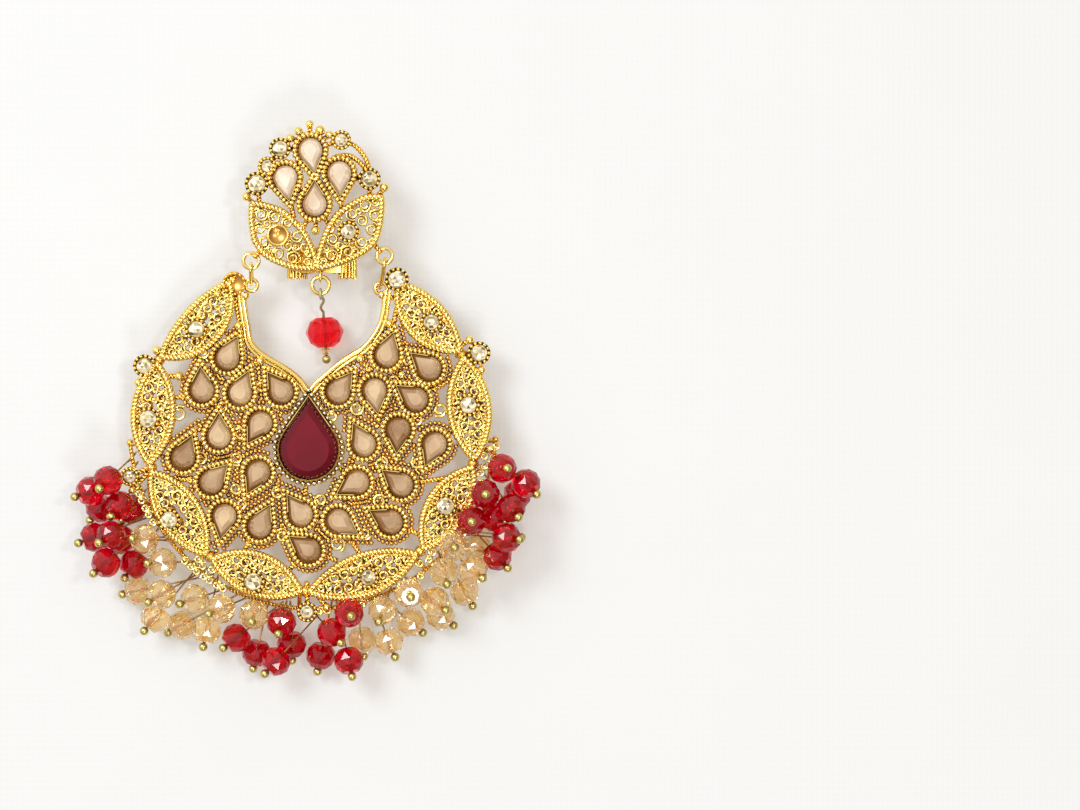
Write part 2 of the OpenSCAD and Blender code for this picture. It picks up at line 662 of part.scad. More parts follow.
module drop_pin() {
    color(gold) {
        toward(drop_eye, drop_knee) {
            rotate([90, 0, 0]) rotate_extrude() translate([drop_eye_r, 0]) circle(r = pin_r, $fn = 24);
            translate([drop_eye_r, 0, 0]) rotate([0, 90, 0])
                cylinder(r = pin_r, h = drop_neck_len - drop_eye_r);
        }
        translate(drop_knee) rotate([35, 20, 110]) sphere(r = pin_r + 0.05);
        on_drop() {
            rotate([0, 90, 0]) cylinder(r = pin_r, h = drop_pin_len);
            translate([drop_pin_len, 0, 0]) sphere(r = head_r);
        }
    }
}

module drop_bead() {
    color("crimson") on_drop()
        translate([drop_pin_len - head_r - spacer_t - drop_t / 2 - 0.15, 0, 0])
            rondelle(drop_d, drop_t, pin_r + 0.15);
}

module drop_spacer() {
    color("wheat") on_drop()
        translate([drop_pin_len - head_r - spacer_t - 0.07, 0, 0]) rotate([0, 90, 0])
            difference() {
                cylinder(r = 0.7, h = spacer_t);
                translate([0, 0, -1]) cylinder(r = pin_r + 0.15, h = spacer_t + 2);
            }
}

module main_stone() {
    color("maroon")
        pear_stone(main_pear, sheet_top - seat + seat_gap, main_r, main_tip, main_h, 0.68, 18);
}

// Stones of a row of collets, but for the empty one
module round_stones(row, empty, top) {
    color("white")
        for (i = [0 : len(row) - 1])
            if (i != empty) round_stone(row[i], top - seat + seat_gap);
}

module crescent_pear(i) {
    color("navajowhite")
        pear_stone(crescent_pears[i], sheet_top - seat + seat_gap, pear_r, pear_tip, pear_h, 0.6, 10);
}

module stud_pear(i) {
    color("linen")
        pear_stone(stud_pears[i], stud_top - seat + seat_gap, pear_r, pear_tip, pear_h, 0.6, 10);
}

stud_plate();
ear_post();
scroll_nut();
link_left();
link_right();
drop_ring();
drop_pin();
drop_bead();
drop_spacer();
crescent_plate();
main_stone();
round_stones(crescent_rounds, empty_crescent, sheet_top);
round_stones(stud_rounds, empty_stud, stud_top);
beads(left_red, "crimson");  // beads_left_red
beads(left_champagne, "burlywood");  // beads_left_champagne
beads(bottom_red, "crimson");  // beads_bottom_red
beads(right_champagne, "burlywood");  // beads_right_champagne
beads(right_red, "crimson");  // beads_right_red
pins(left_red);  // pins_left_red
pins(left_champagne);  // pins_left_champagne
pins(bottom_red);  // pins_bottom_red
pins(right_champagne);  // pins_right_champagne
pins(right_red);  // pins_right_red
for (i = [0 : 24])
    crescent_pear(i);
for (i = [0 : 3])
    stud_pear(i);
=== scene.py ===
# %% [markdown]
# # A filigree earring, lying flat
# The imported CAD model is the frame: it gives each part its place and size. This script loads
# it and dresses it. The plain pierced plates give way to beaded settings, twisted wire and
# scrolls, and every stone and bead gets its cut and its material.
# Lengths below are in millimetres, and each finished mesh is scaled to metres once.

# %% Load the frame
import random
from math import acos, asin, atan2, cos, hypot, pi, radians, sin, sqrt

import bmesh
import bpy
from mathutils import Matrix, Vector


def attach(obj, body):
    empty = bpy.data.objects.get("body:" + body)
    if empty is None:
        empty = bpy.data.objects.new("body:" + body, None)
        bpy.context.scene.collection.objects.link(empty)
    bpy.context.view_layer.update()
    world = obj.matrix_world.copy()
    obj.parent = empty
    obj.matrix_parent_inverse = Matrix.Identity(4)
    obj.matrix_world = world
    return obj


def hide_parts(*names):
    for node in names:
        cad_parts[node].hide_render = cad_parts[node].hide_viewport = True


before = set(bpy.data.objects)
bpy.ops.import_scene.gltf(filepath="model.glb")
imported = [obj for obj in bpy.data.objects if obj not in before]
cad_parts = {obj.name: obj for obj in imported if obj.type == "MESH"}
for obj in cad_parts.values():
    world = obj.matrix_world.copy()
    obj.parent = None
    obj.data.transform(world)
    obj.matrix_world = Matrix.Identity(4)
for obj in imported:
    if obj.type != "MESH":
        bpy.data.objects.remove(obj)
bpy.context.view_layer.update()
MM = 0.001
print("CAD nodes:", len(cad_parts))

# %% [markdown]
# ## Sizes and places
# These are the numbers of the CAD model: heights of the two pierced plates, sizes of the
# stones, and where each setting sits. A stone's row is x, y and the direction of its tip. A
# collet's or a ball's row is x, y, its radius, and where the stem that carries it starts. A
# leaf's row is its two angles on the rim and how far it reaches out and in.

# %% Heights and stone sizes
CRESCENT_BACK, CRESCENT_TOP = 4.4, 5.6
STUD_BACK, STUD_TOP = 6.8, 7.8
# Slack round a stone in its setting, and how far the stone sits under the plate's top.
SLACK, SEAT = 0.12, 0.15
PEAR_R, PEAR_TIP, PEAR_H = 1.7, 3.2, 1.3
MAIN_R, MAIN_TIP, MAIN_H = 4.3, 7.5, 2.1
MID = (1, -3.6)
RIM_R, LEAF_TIP_R = 25.9, 24

# %% Places on the crescent
LEAVES = [
    (118.6, 156.7, RIM_R - 1.5, 17.9), (156.7, 194.8, RIM_R, 19.4), (194.8, 232.2, RIM_R, 19.4),
    (232.2, 267.7, RIM_R, 19.4), (267.7, 310.8, RIM_R, 19.4), (310.8, 346.7, RIM_R, 19.4),
    (346.7, 385.3, RIM_R, 19.4), (385.3, 419.8, RIM_R - 0.5, 19),
]
CRESCENT_PEARS = [
    (-11, 6, 64), (-14.6, 1.4, 94), (-9.2, 1, 68), (-3.3, 1.2, 125), (-12.2, -5.2, 90),
    (-17.3, -8.2, 68), (-6.3, -3.3, 238), (-13.3, -11.7, 47), (-6.6, -10.3, 243),
    (-11.4, -16.5, 260), (-6.4, -18, 64), (-0.5, -16.3, 125), (0.6, -21.4, 145),
    (11.7, 6.4, 73), (17.8, 4.5, 140), (4.8, 1.2, 54), (10, 1.4, 278), (15.9, 0.1, 145),
    (8.5, -6.3, 117), (13.4, -4.2, 266), (18.6, -6.3, 246), (7.5, -11.7, 211),
    (13.8, -12.1, 142), (4.8, -17.2, 326), (12.3, -17.4, 151),
]
MAIN_PEAR = (0.6, -7.1, 90)
CRESCENT_ROUNDS = [
    (-15.4, 10.1, 1.15, -14.4, 9), (-22.3, -2.7, 1.25, -21, -2.6), (-19.3, -17.1, 1.2, -18.4, -16),
    (-7.3, -25.9, 1.25, -7, -24.6), (9.1, -25.3, 1.1, 8.8, -24.2), (20.1, -15.1, 1.25, 19, -14.6),
    (23.4, -0.7, 1.2, 22.3, -1), (18.1, 11.1, 1.1, 17.4, 10.4), (-10, 16.6, 1.25, -11, 14),
    (13.2, 17.2, 1.25, 13.4, 14.6), (-22.8, 4.9, 1.15, -20.4, 5), (24.9, 6.7, 1.2, 21.6, 6.4),
    (-24.9, -10.9, 0.9, -21.8, -9.4), (0.4, -30.2, 1, 0.3, -26),
]
EMPTY_CRESCENT = 8
CRESCENT_BALLS = [
    (-9.4, 10.6, 0.7, -10, 9), (-6.3, 5.6, 0.7, -9, 4.4), (-17.9, 3.4, 0.7, -20.5, 3.4),
    (12.1, 10.9, 0.7, 13, 9.6), (8, 5.9, 0.7, 9.4, 4), (13.9, 3.6, 0.65, 13, 4.6),
    (-12.4, 15.1, 0.65, -11.2, 14.4), (-8.4, 14.9, 0.6, -10, 14.6), (11, 15, 0.6, 12.6, 14.6),
    (-21.1, 7.1, 0.65, -19.6, 6), (-23.7, 2.5, 0.65, -22, 3.4), (23.6, 8.6, 0.65, 22, 7.6),
    (25.3, 4.3, 0.65, 23.4, 4.4), (26.6, -7, 0.65, 24, -7.6), (-24.6, -12.8, 0.6, -22.4, -10.4),
    (3.2, -29.6, 0.6, 1, -27),
]
CRESCENT_BRACES = [
    (-9.9, 14.4, -9, 9), (-16, 7, -14, 1), (-21, 0, -14, 1), (-20.5, -5, -17, -8),
    (-21, -11, -13, -11.7), (-16.5, -19, -11.4, -16.5), (-9, -22, -6.4, -18),
    (-2, -24, 0.6, -21.4), (-4, 4.6, -9.2, 1), (-6.6, -10.3, -3, -9), (-0.5, -16.3, 0.6, -10),
    (13.6, 15, 12.2, 9), (16.4, 9, 17.8, 4.5), (21, 3, 17, 1), (21.5, -4, 18.6, -6.3),
    (21, -11, 13.8, -12.1), (17, -19.5, 12.3, -17.4), (8.4, -22.8, 4.8, -17.2),
    (0.6, -21.4, 4.6, -22.9), (-0.5, -16.3, 4.8, -17.2), (5.4, 4.6, 10, 1.4), (7.5, -11.7, 4, -9),
]
CRESCENT_SCROLLS = [
    (-14.6, 6.9, 1.3), (-17.9, -1.9, 1.4), (-6.2, 2, 1.2), (-11.8, -0.9, 1.2), (-9.2, -4.8, 1.3),
    (-14.8, -8.2, 1.2), (-9.7, -8.4, 1.3), (-4, -0.9, 1.1), (-9.8, -12.6, 1.2),
    (-3.8, -13.2, 1.2), (-3.2, -19.3, 1.3), (-9, -14.8, 1.1), (2.3, -14.3, 1.2),
    (4.7, -20.6, 1.4), (8.6, -19.1, 1.2), (10.7, -14.4, 1.3), (10.9, -9, 1.3), (16.1, -8.9, 1.2),
    (16, -2.9, 1.2), (19.3, -1.4, 1.3), (12.8, 2.8, 1.1), (14.8, 5.6, 1.1), (7.4, -1.2, 1.3),
    (4, -2.3, 1.1), (10.8, -1.9, 1.1),
]
RIM_RINGS = [
    (229.6, 25, 0.85), (232.4, 25.4, 0.8), (235.2, 25, 0.85), (308.2, 25, 0.85),
    (311, 25.4, 0.8), (313.8, 25, 0.85), (344.2, 25, 0.85), (347, 25.4, 0.8), (349.8, 25, 0.85),
]
# Chains of small rings along the rim: from angle, to angle, rings.
RIM_CHAINS = [
    (194.2, 211.2, 8), (227, 241.6, 7), (267, 277.6, 5), (283.4, 285.8, 2), (303.2, 305.8, 2),
    (322.6, 326.6, 3), (350, 353.6, 2),
]
CHAIN_PLACE, CHAIN_RING = 26.5, 0.8
SCOOP = [
    (-9, 15.4), (-8.6, 12.4), (-8.2, 10.4), (-7.9, 8.5), (-6.8, 7), (-5.1, 5.8), (-3.2, 4.7),
    (-1.5, 3.5), (-0.4, 2.4), (0.6, 1.2), (1.8, 2.4), (3.1, 3.5), (5, 5.1), (6.9, 6.4),
    (8.5, 7.4), (9.8, 8.9), (10.8, 10.6), (11.3, 12.4), (11.7, 15.6),
]
print("settings on the crescent:", len(CRESCENT_PEARS) + 1 + len(CRESCENT_ROUNDS))

# %% Places on the stud
STUD_PEARS = [(1, 35.5, -80), (-2.6, 31.6, -80), (5.1, 32.2, -88), (1.6, 27.8, 90)]
STUD_ROUNDS = [
    (-3.3, 35.7, 1.1, 0, 35.7), (5.4, 36.9, 0.95, 1.5, 35.7), (-6.6, 30.7, 1.25, -3.6, 31),
    (-5.1, 33.2, 0.9, -3.2, 32), (9.4, 31.4, 1.15, 6, 31.6), (6.4, 23.9, 1.1, 6.4, 25),
    (-3.6, 23.4, 1.1, -3.6, 24.4),
]
EMPTY_STUD = 6
STUD_BALLS = [
    (0.9, 39.2, 0.6, 1, 37), (-0.7, 38.2, 0.65, 0.4, 37.4), (-1.9, 37.2, 0.65, 0, 36.8),
    (2.4, 38.3, 0.75, 1.4, 37.2), (3.7, 37.7, 0.6, 2, 36.6), (-8.1, 28.9, 0.65, -6, 27),
    (11.5, 30.2, 0.7, 10, 28.4), (1.7, 24.1, 0.65, 1.7, 26),
]
STUD_BRACES = [
    (-2.6, 31.6, -1.4, 26), (5.1, 32.2, 5.4, 26.8), (1, 35.5, -2.6, 31.6), (1, 35.5, 5.1, 32.2),
    (1.6, 27.8, -2.6, 31.6), (1.6, 27.8, 5.1, 32.2), (1.6, 27.8, -0.4, 23.8),
    (1.6, 27.8, 4, 24.4), (-6.6, 30.7, -6.2, 27.6), (9.4, 31.4, 9.4, 28.4),
    (-3.3, 35.7, -5.1, 33.2),
]
STUD_ARCHES = [
    [(5.4, 36.9), (7.2, 36.2), (8.4, 35), (9.2, 33.4), (9.4, 31.4)],
    [(4.6, 34.6), (6.2, 34.8), (7.5, 34.2), (8.7, 33), (9.4, 31.4)],
]
LEFT_LEAF = [
    (-7.6, 28.3), (-5.2, 27.9), (-2.9, 27.1), (-0.6, 25.1), (0.7, 23.4), (1.9, 20.3),
    (1.9, 18.6), (-0.6, 18.5), (-2.9, 19), (-5.3, 20.1), (-6.7, 21.6), (-7.4, 23), (-7.7, 25.7),
]
RIGHT_LEAF = [
    (11.4, 29.1), (9, 29.1), (6.7, 28), (4.6, 26.6), (3.3, 24.7), (2.6, 22.9), (1.9, 20.3),
    (1.9, 18.6), (4, 18.9), (6.4, 19.6), (8.6, 20.7), (10.4, 22.3), (11.1, 24.3), (11.4, 26.7),
]
STUD_COILS = [
    (-6, 26.4, 0.95), (-4.1, 26, 0.9), (-6.3, 24.4, 0.85), (-5.6, 22.4, 0.95), (-3.6, 20.7, 1),
    (-1.5, 20.2, 0.95), (0.2, 21.7, 0.85), (-0.9, 23.3, 0.95), (-2.3, 25.2, 0.75),
    (0.6, 19.6, 0.65), (-4.4, 21.6, 0.7), (-2.2, 21.9, 0.75), (-5.4, 20.9, 0.6), (-5.2, 25, 0.6),
    (-1, 21.6, 0.5), (-6.9, 27.3, 0.5), (-3, 26.6, 0.5), (0.7, 20.8, 0.5), (-0.4, 24.6, 0.5),
    (8.7, 27.7, 0.95), (6.9, 26.4, 0.9), (10.2, 26.2, 0.95), (9.7, 24.3, 0.95), (8.3, 22.4, 0.95),
    (6.3, 21.1, 0.95), (4, 20.5, 0.95), (4.2, 22.8, 0.95), (5, 25.2, 0.7), (8.3, 25.5, 0.75),
    (10.2, 28.2, 0.65), (5.2, 21.9, 0.6), (7.4, 23.9, 0.5), (9.8, 22.7, 0.5), (7.4, 21.2, 0.55),
    (2.8, 19.6, 0.6), (5, 19.7, 0.5), (3.2, 21.5, 0.55), (7.9, 26.8, 0.5), (3.8, 24.3, 0.5),
]
print("settings on the stud:", len(STUD_PEARS) + len(STUD_ROUNDS))

# %% Beads and their pins
# Each row is the bead's middle and the angle on the rim where its pin's eye hangs.
BUNCHES = {
    "left_red": [
        (-27.7, -11.4, 8.5, 190), (-30.6, -13, 5.6, 195.5), (-29.6, -15.5, 2.2, 193),
        (-26.3, -15, 6.3, 198), (-25.1, -15.6, 2.2, 202), (-30.1, -19.6, 5.1, 209.5),
        (-26.6, -20, 2.5, 217.5), (-28.2, -23.2, 6.8, 211.5), (-24.5, -23.5, 4.4, 213.5),
        (-27.3, -19.2, 8.6, 207.6),
    ],
    "left_champagne": [
        (-22.7, -19.8, 6.7, 219), (-20.3, -23.2, 5.3, 228), (-24.1, -27.4, 2.3, 235.2),
        (-20.3, -27.7, 6.5, 232.8), (-21.5, -31.2, 4.3, 231), (-17.8, -32.3, 2.2, 246.5),
        (-15.7, -28.4, 5.1, 242.5), (-14.1, -33, 4.4, 238.5), (-11.8, -29.7, 6.5, 249.5),
        (-7.1, -30.5, 7.4, 252.5),
    ],
    "bottom_red": [
        (-9.8, -34, 4.8, 259.2), (-7.1, -36.3, 2.2, 255.9), (-4.1, -37.3, 5.5, 273.5),
        (-3.3, -31.7, 5.5, 261.5), (-2.1, -35.1, 2.2, 263), (2.1, -36.7, 2.2, 275.6),
        (3.9, -33.1, 6.2, 269.3), (6.3, -37.2, 5.3, 277.8), (6.5, -30.2, 8.4, 280),
    ],
    "right_champagne": [
        (11.2, -30, 6, 294.8), (8, -34.5, 2.2, 284), (12, -34.6, 4, 289), (15, -27.4, 8, 300.2),
        (15, -31.9, 2.2, 291.5), (18.6, -28.7, 5.9, 302), (19.3, -31, 2.2, 298.4),
        (19.9, -24.6, 5.2, 314), (22.8, -27.5, 2.6, 315.5), (24.1, -24.2, 7.4, 317.5),
        (21.4, -20.8, 8.5, 319.5), (24.6, -21.3, 2.2, 321),
    ],
    "right_red": [
        (28.2, -9.7, 7.8, 346.5), (31.6, -11.9, 6, 351.5), (30.3, -13.6, 2.2, 336.5),
        (25.8, -13.3, 8.6, 338.5), (23.9, -17.1, 8.6, 329.6), (29.5, -15.3, 8.5, 343),
        (27, -16.7, 5.2, 332.5), (28.6, -19.4, 2.2, 325.1), (28.9, -19.6, 8.5, 323.5),
        (27.5, -22.3, 5.3, 327.8),
    ],
}
RAIL_R, RAIL_Z = 26.3, 3.1
print("rim beads:", sum(len(rows) for rows in BUNCHES.values()))

# %% [markdown]
# ## Materials
# The metal is one bright gilding over everything, darkened in the corners between grains and
# under the wires. That darkening is partly the plater's brown wash, which stays in such
# recesses, and partly painted shade, where less light gets in. Painting that by hand would take
# a texture for each piece. Ambient Occlusion finds the corners from the shape itself, so the
# wash and the painted shade sit in the recess from every side. The effect is one shader group,
# placed in each metal with its own colours.

# %% Node helpers
def colour(r, g, b):
    """A colour as seen on the object, 0 to 255 each, in the linear values that Blender mixes."""
    def linear(c):
        c = c / 255
        return c / 12.92 if c <= 0.04045 else ((c + 0.055) / 1.055) ** 2.4
    return (linear(r), linear(g), linear(b), 1)


def set_inputs(tree, made, values):
    """Gives each input of a node its plain value, or links it to the output that feeds it."""
    for key, value in values.items():
        if isinstance(value, bpy.types.NodeSocket):
            tree.links.new(value, made.inputs[key])
        else:
            made.inputs[key].default_value = value


def node(tree, kind, inputs=None, **settings):
    made = tree.nodes.new(kind)
    for key, value in settings.items():
        setattr(made, key, value)
    set_inputs(tree, made, inputs or {})
    return made


def mix_colours(tree, factor, first, second):
    """A Mix node on colours. Its colour sockets are numbers 6 and 7, and the result is 2."""
    values = {0: factor, 6: first, 7: second}
    return node(tree, "ShaderNodeMix", values, data_type="RGBA").outputs[2]


def remap(tree, value, low, high, to_low=0.0, to_high=1.0):
    values = {0: value, 1: low, 2: high, 3: to_low, 4: to_high}
    return node(tree, "ShaderNodeMapRange", values).outputs[0]


def maths(tree, operation, *values):
    """The result of a Math node, held between 0 and 1."""
    inputs = dict(enumerate(values))
    return node(tree, "ShaderNodeMath", inputs, operation=operation, use_clamp=True).outputs[0]


def facet_number(tree):
    """The number that each facet of a cut stone carries."""
    return node(tree, "ShaderNodeAttribute", attribute_name="facet").outputs["Fac"]


def new_material(name):
    """A material with its tree and its Principled shader."""
    made = bpy.data.materials.new(name)
    made.use_nodes = True
    return made, made.node_tree, made.node_tree.nodes["Principled BSDF"]


# %% The brown wash and painted shade as a group
def build_wash_and_shade():
    group = bpy.data.node_groups.new("brown_wash_and_shade", "ShaderNodeTree")
    for name, kind, first in (
        ("Polished", "NodeSocketColor", (1, 1, 1, 1)), ("Wash_and_shade", "NodeSocketColor", (0, 0, 0, 1)),
        ("Depth", "NodeSocketFloat", 0.0006), ("Amount", "NodeSocketFloat", 1.0),
        ("Shine", "NodeSocketFloat", 0.25),
    ):
        group.interface.new_socket(name, in_out="INPUT", socket_type=kind).default_value = first
    for name, kind in (
        ("Color", "NodeSocketColor"), ("Roughness", "NodeSocketFloat"),
        ("Height", "NodeSocketFloat"),
    ):
        group.interface.new_socket(name, in_out="OUTPUT", socket_type=kind)
    into, out = node(group, "NodeGroupInput"), node(group, "NodeGroupOutput")
    place = node(group, "ShaderNodeTexCoord").outputs["Object"]
    cloud = node(group, "ShaderNodeTexNoise", {"Vector": place, "Scale": 420.0, "Detail": 3.0})
    grain = node(group, "ShaderNodeTexNoise", {"Vector": place, "Scale": 2600.0, "Detail": 2.0})
    corner = node(
        group, "ShaderNodeAmbientOcclusion", {"Distance": into.outputs["Depth"]}, samples=6)
    # Corners that the AO finds darken towards the second colour: brown wash and painted shade in
    # one.
    open_air = remap(group, corner.outputs["AO"], 0.22, 0.7)
    patchy = remap(group, cloud.outputs[0], 0.35, 0.65, -0.22, 0.22)
    washed_and_shaded = maths(group, "SUBTRACT", 1.0, maths(group, "ADD", open_air, patchy))
    amount = maths(group, "MULTIPLY", washed_and_shaded, into.outputs["Amount"])
    set_inputs(group, out, {
        "Color": mix_colours(group, amount, into.outputs["Polished"], into.outputs["Wash_and_shade"]),
        "Roughness": maths(group, "MULTIPLY_ADD", amount, 0.3, into.outputs["Shine"]),
        "Height": grain.outputs[0]})
    return group


WASH_SHADE_GROUP = build_wash_and_shade()


# %% Metals
# A metal's second colour is what its corners darken to: partly brown wash, partly painted shade.
def metal(name, polished, wash_and_shade_colour, shine, amount=1.0, depth=0.6, grain=0.12):
    made, tree, shader = new_material(name)
    wear = node(tree, "ShaderNodeGroup", {
        "Polished": polished, "Wash_and_shade": wash_and_shade_colour, "Depth": depth * MM, "Amount": amount,
        "Shine": shine}, node_tree=WASH_SHADE_GROUP)
    bump = node(tree, "ShaderNodeBump", {
        "Height": wear.outputs["Height"], "Strength": grain, "Distance": 0.04 * MM})
    set_inputs(tree, shader, {
        "Metallic": 1.0, "Base Color": wear.outputs["Color"],
        "Roughness": wear.outputs["Roughness"], "Normal": bump.outputs["Normal"]})
    return made


# Second colours: the brown wash and the painted shade in each metal's corners.
gilding = metal("gilding", colour(248, 202, 100), colour(116, 60, 16), 0.24)
bright_wire = metal("bright_wire", colour(255, 226, 134), colour(150, 84, 22), 0.17, amount=0.8)
scroll_gold = metal("scroll_gold", colour(250, 214, 120), colour(132, 70, 18), 0.22, depth=0.6)
beading_gold = metal("beading_gold", colour(255, 222, 130), colour(120, 60, 12), 0.18, depth=0.45)
aged_and_shaded_silver = metal("aged_and_shaded_silver", colour(240, 230, 206), colour(52, 34, 20), 0.2, depth=0.8)
claw_gold = metal(
    "claw_gold", colour(252, 214, 112), colour(136, 88, 30), 0.22, amount=0.6, depth=0.3)
# A cup's floor: the gilding painted darker and browner, as the shade at the bottom of the cup.
shaded_cup_floor = metal("shaded_cup_floor", colour(206, 152, 84), colour(126, 76, 30), 0.32)
# The far row's gold: the gilding painted darker, as the shade where the row lies low.
low_shaded_gold = metal("low_shaded_gold", colour(232, 180, 90), colour(108, 64, 24), 0.3)
shaded_gold = metal("shaded_gold", colour(206, 142, 58), colour(120, 66, 18), 0.35)
pin_brass = metal("pin_brass", colour(204, 188, 118), colour(110, 94, 42), 0.32, amount=0.8)
# The pins' shanks: brass painted darker and browner than their heads, as the shade between the
# beads where they run.
pin_shank_in_shade = metal("pin_shank_in_shade", colour(196, 158, 92), colour(140, 98, 48), 0.4)
neck_wire = metal("neck_wire", colour(192, 190, 150), colour(120, 112, 74), 0.65, amount=0.5)
print("materials so far, with the frame's own:", len(bpy.data.materials))


# %% [markdown]
# ## Stones and glass
# A cut stone shows itself by its facets: each throws back another part of the room. The pear
# stones are cloudy, so they are opaque under a clear coat, with colour that drifts through
# them; their sloping facets on the left are painted darker, as shade from the setting's wall.
# The small round stones are backed with foil, which hides the metal behind them. Each of their
# facets carries its own tone, pale or dark: painted reflections of the room. The threaded beads
# are clear coloured glass. A trace of emission stands for the light that such small glass
# gathers from the cloth under it.

# %% Stone materials
def stone(name, pale, deep, rough, coat=0.4, drift=260.0, level=0.5):
    """Cloudy stone: two colours that drift into each other. Its facets shift the mix, and its
    sloping facets on the left carry painted shade.
    """
    made, tree, shader = new_material(name)
    place = node(tree, "ShaderNodeTexCoord").outputs["Object"]
    cloud = node(tree, "ShaderNodeTexNoise", {"Vector": place, "Scale": drift, "Detail": 4.0})
    drifting = remap(tree, cloud.outputs[0], 0.35, 0.65, 0.0, 0.35)
    both = maths(tree, "MULTIPLY_ADD", facet_number(tree), 0.75, drifting)
    set_inputs(tree, shader, {
        "Base Color": mix_colours(tree, both, pale, deep), "Roughness": rough,
        "Coat Weight": coat, "Coat Roughness": 0.12, "Specular IOR Level": level})
    return made


def flash_painted_stone(name, tones):
    """Foil-backed stone: every facet has its own pale or dark tone from a short ramp, a painted
    reflection.
    """
    made, tree, shader = new_material(name)
    ramp = node(tree, "ShaderNodeValToRGB", {"Fac": facet_number(tree)})
    while len(ramp.color_ramp.elements) < len(tones):
        ramp.color_ramp.elements.new(0.5)
    for element, (at, tone) in zip(ramp.color_ramp.elements, tones):
        element.position = at
        element.color = tone
    set_inputs(tree, shader, {
        "Base Color": ramp.outputs["Color"], "Roughness": 0.06, "Coat Weight": 0.3,
        "Coat Roughness": 0.02})
    return made


def glass(name, clear, tinted, seen_through, gleam, strength, coat=0.0, level=0.3, ior=1.56):
    """Clear glass between two tints. The level sets how strongly its faces mirror the room."""
    made, tree, shader = new_material(name)
    set_inputs(tree, shader, {
        "Base Color": mix_colours(tree, facet_number(tree), clear, tinted), "Roughness": 0.02,
        "IOR": ior, "Transmission Weight": seen_through, "Emission Color": gleam,
        "Emission Strength": strength, "Coat Weight": coat, "Coat IOR": 1.9,
        "Specular IOR Level": level})
    return made


champagne_stone = stone("champagne_stone", colour(212, 184, 146), colour(126, 84, 46), 0.22)
pearly_stone = stone("pearly_stone", colour(242, 230, 212), colour(170, 134, 94), 0.2)
maroon_stone = stone(
    "maroon_stone", colour(110, 10, 28), colour(44, 0, 6), 0.12, coat=0.0, drift=120.0, level=0.3)
# Pale and dark facet tones: painted reflections and flashes.
white_stone = flash_painted_stone("white_stone", [
    (0.0, colour(74, 62, 40)), (0.25, colour(196, 178, 126)), (0.5, colour(255, 248, 228)),
    (0.75, colour(134, 114, 66)), (1.0, colour(232, 220, 186))])
red_glass = glass(
    "red_glass", colour(232, 4, 34), colour(176, 0, 18), 0.88, colour(255, 0, 30), 0.02)
cherry_glass = glass(
    "cherry_glass", colour(250, 4, 44), colour(226, 0, 26), 0.8, colour(255, 0, 36), 0.05, ior=1.4)
champagne_glass = glass(
    "champagne_glass", colour(252, 236, 194), colour(244, 200, 122), 0.92,
    colour(255, 214, 150), 0.04, coat=0.6, level=0.5)
print("all materials, with the frame's own:", len(bpy.data.materials))


# %% [markdown]
# ## From a bmesh to a piece
# Every piece is grown in a bmesh in millimetres. The finish is always the same: merge
# doubles, turn the faces outwards, scale to metres, and shade smooth except over real
# edges. The object itself stays at the origin, and rides on the one body that this earring
# has.

# %% Finish a piece
def add_object(name, data):
    made = bpy.data.objects.new(name, data)
    bpy.context.collection.objects.link(made)
    return made


def finish(bm, name, materials, replaced, sharp=65):
    bmesh.ops.remove_doubles(bm, verts=bm.verts, dist=0.0005)
    bmesh.ops.recalc_face_normals(bm, faces=bm.faces)
    bmesh.ops.scale(bm, vec=(MM, MM, MM), verts=bm.verts)
    mesh = bpy.data.meshes.new(name)
    bm.to_mesh(mesh)
    bm.free()
    for material in materials:
        mesh.materials.append(material)
    mesh.shade_smooth()
    mesh.set_sharp_from_angle(angle=radians(sharp))
    made = add_object(name, mesh)
    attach(made, "root")
    for replaced_node in replaced:
        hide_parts(replaced_node)
    print(name, "triangles:", sum(len(face.vertices) - 2 for face in mesh.polygons))
    return made


# %% [markdown]
# ## Lines
# Jewellers draw with wire, so most shapes here are lines first: a pear outline, an almond
# leaf, a scroll that winds in. Two helpers smooth a line through a few points and deal
# points out evenly along it, which is what beading and twisted wire need.

# %% Line helpers
def smooth_line(points, steps=6):
    """A Catmull-Rom line through the points."""
    rows = [Vector(p) for p in points]
    rows = [rows[0] * 2 - rows[1]] + rows + [rows[-1] * 2 - rows[-2]]
    line = []
    for a, b, c, d in zip(rows, rows[1:], rows[2:], rows[3:]):
        for i in range(steps):
            t = i / steps
            line.append(0.5 * (2 * b + (c - a) * t + (2 * a - 5 * b + 4 * c - d) * t * t
                               + (3 * b - a - 3 * c + d) * t ** 3))
    return line + [rows[-2]]


def deal_out(line, count, closed):
    """Evenly spaced places along a line, each with its direction."""
    rows = [Vector(p) for p in line]
    if closed:
        rows.append(rows[0])
    lengths = [(b - a).length for a, b in zip(rows, rows[1:])]
    total = sum(lengths)
    gap = total / count if closed else total / (count - 1)
    places, i, before = [], 0, 0.0
    for k in range(count):
        want = k * gap
        while i < len(lengths) - 1 and before + lengths[i] < want:
            before += lengths[i]
            i += 1
        along = (rows[i + 1] - rows[i]).normalized()
        places.append((rows[i] + along * (want - before), along))
    return places


def line_length(line, closed):
    rows = [Vector(p) for p in line]
    pairs = list(zip(rows, rows[1:])) + ([(rows[-1], rows[0])] if closed else [])
    return sum((b - a).length for a, b in pairs)


def aside(line, width):
    """A line moved sideways by width."""
    places = []
    for i, point in enumerate(line):
        d = (Vector(line[min(i + 1, len(line) - 1)]) - Vector(line[max(i - 1, 0)])).normalized()
        places.append(Vector(point) + width * Vector((-d.y, d.x)))
    return places


# %% Outlines
def on_rim(turn, far):
    """The place at an angle in degrees and a distance from the rim's middle."""
    return MID[0] + far * cos(radians(turn)), MID[1] + far * sin(radians(turn))


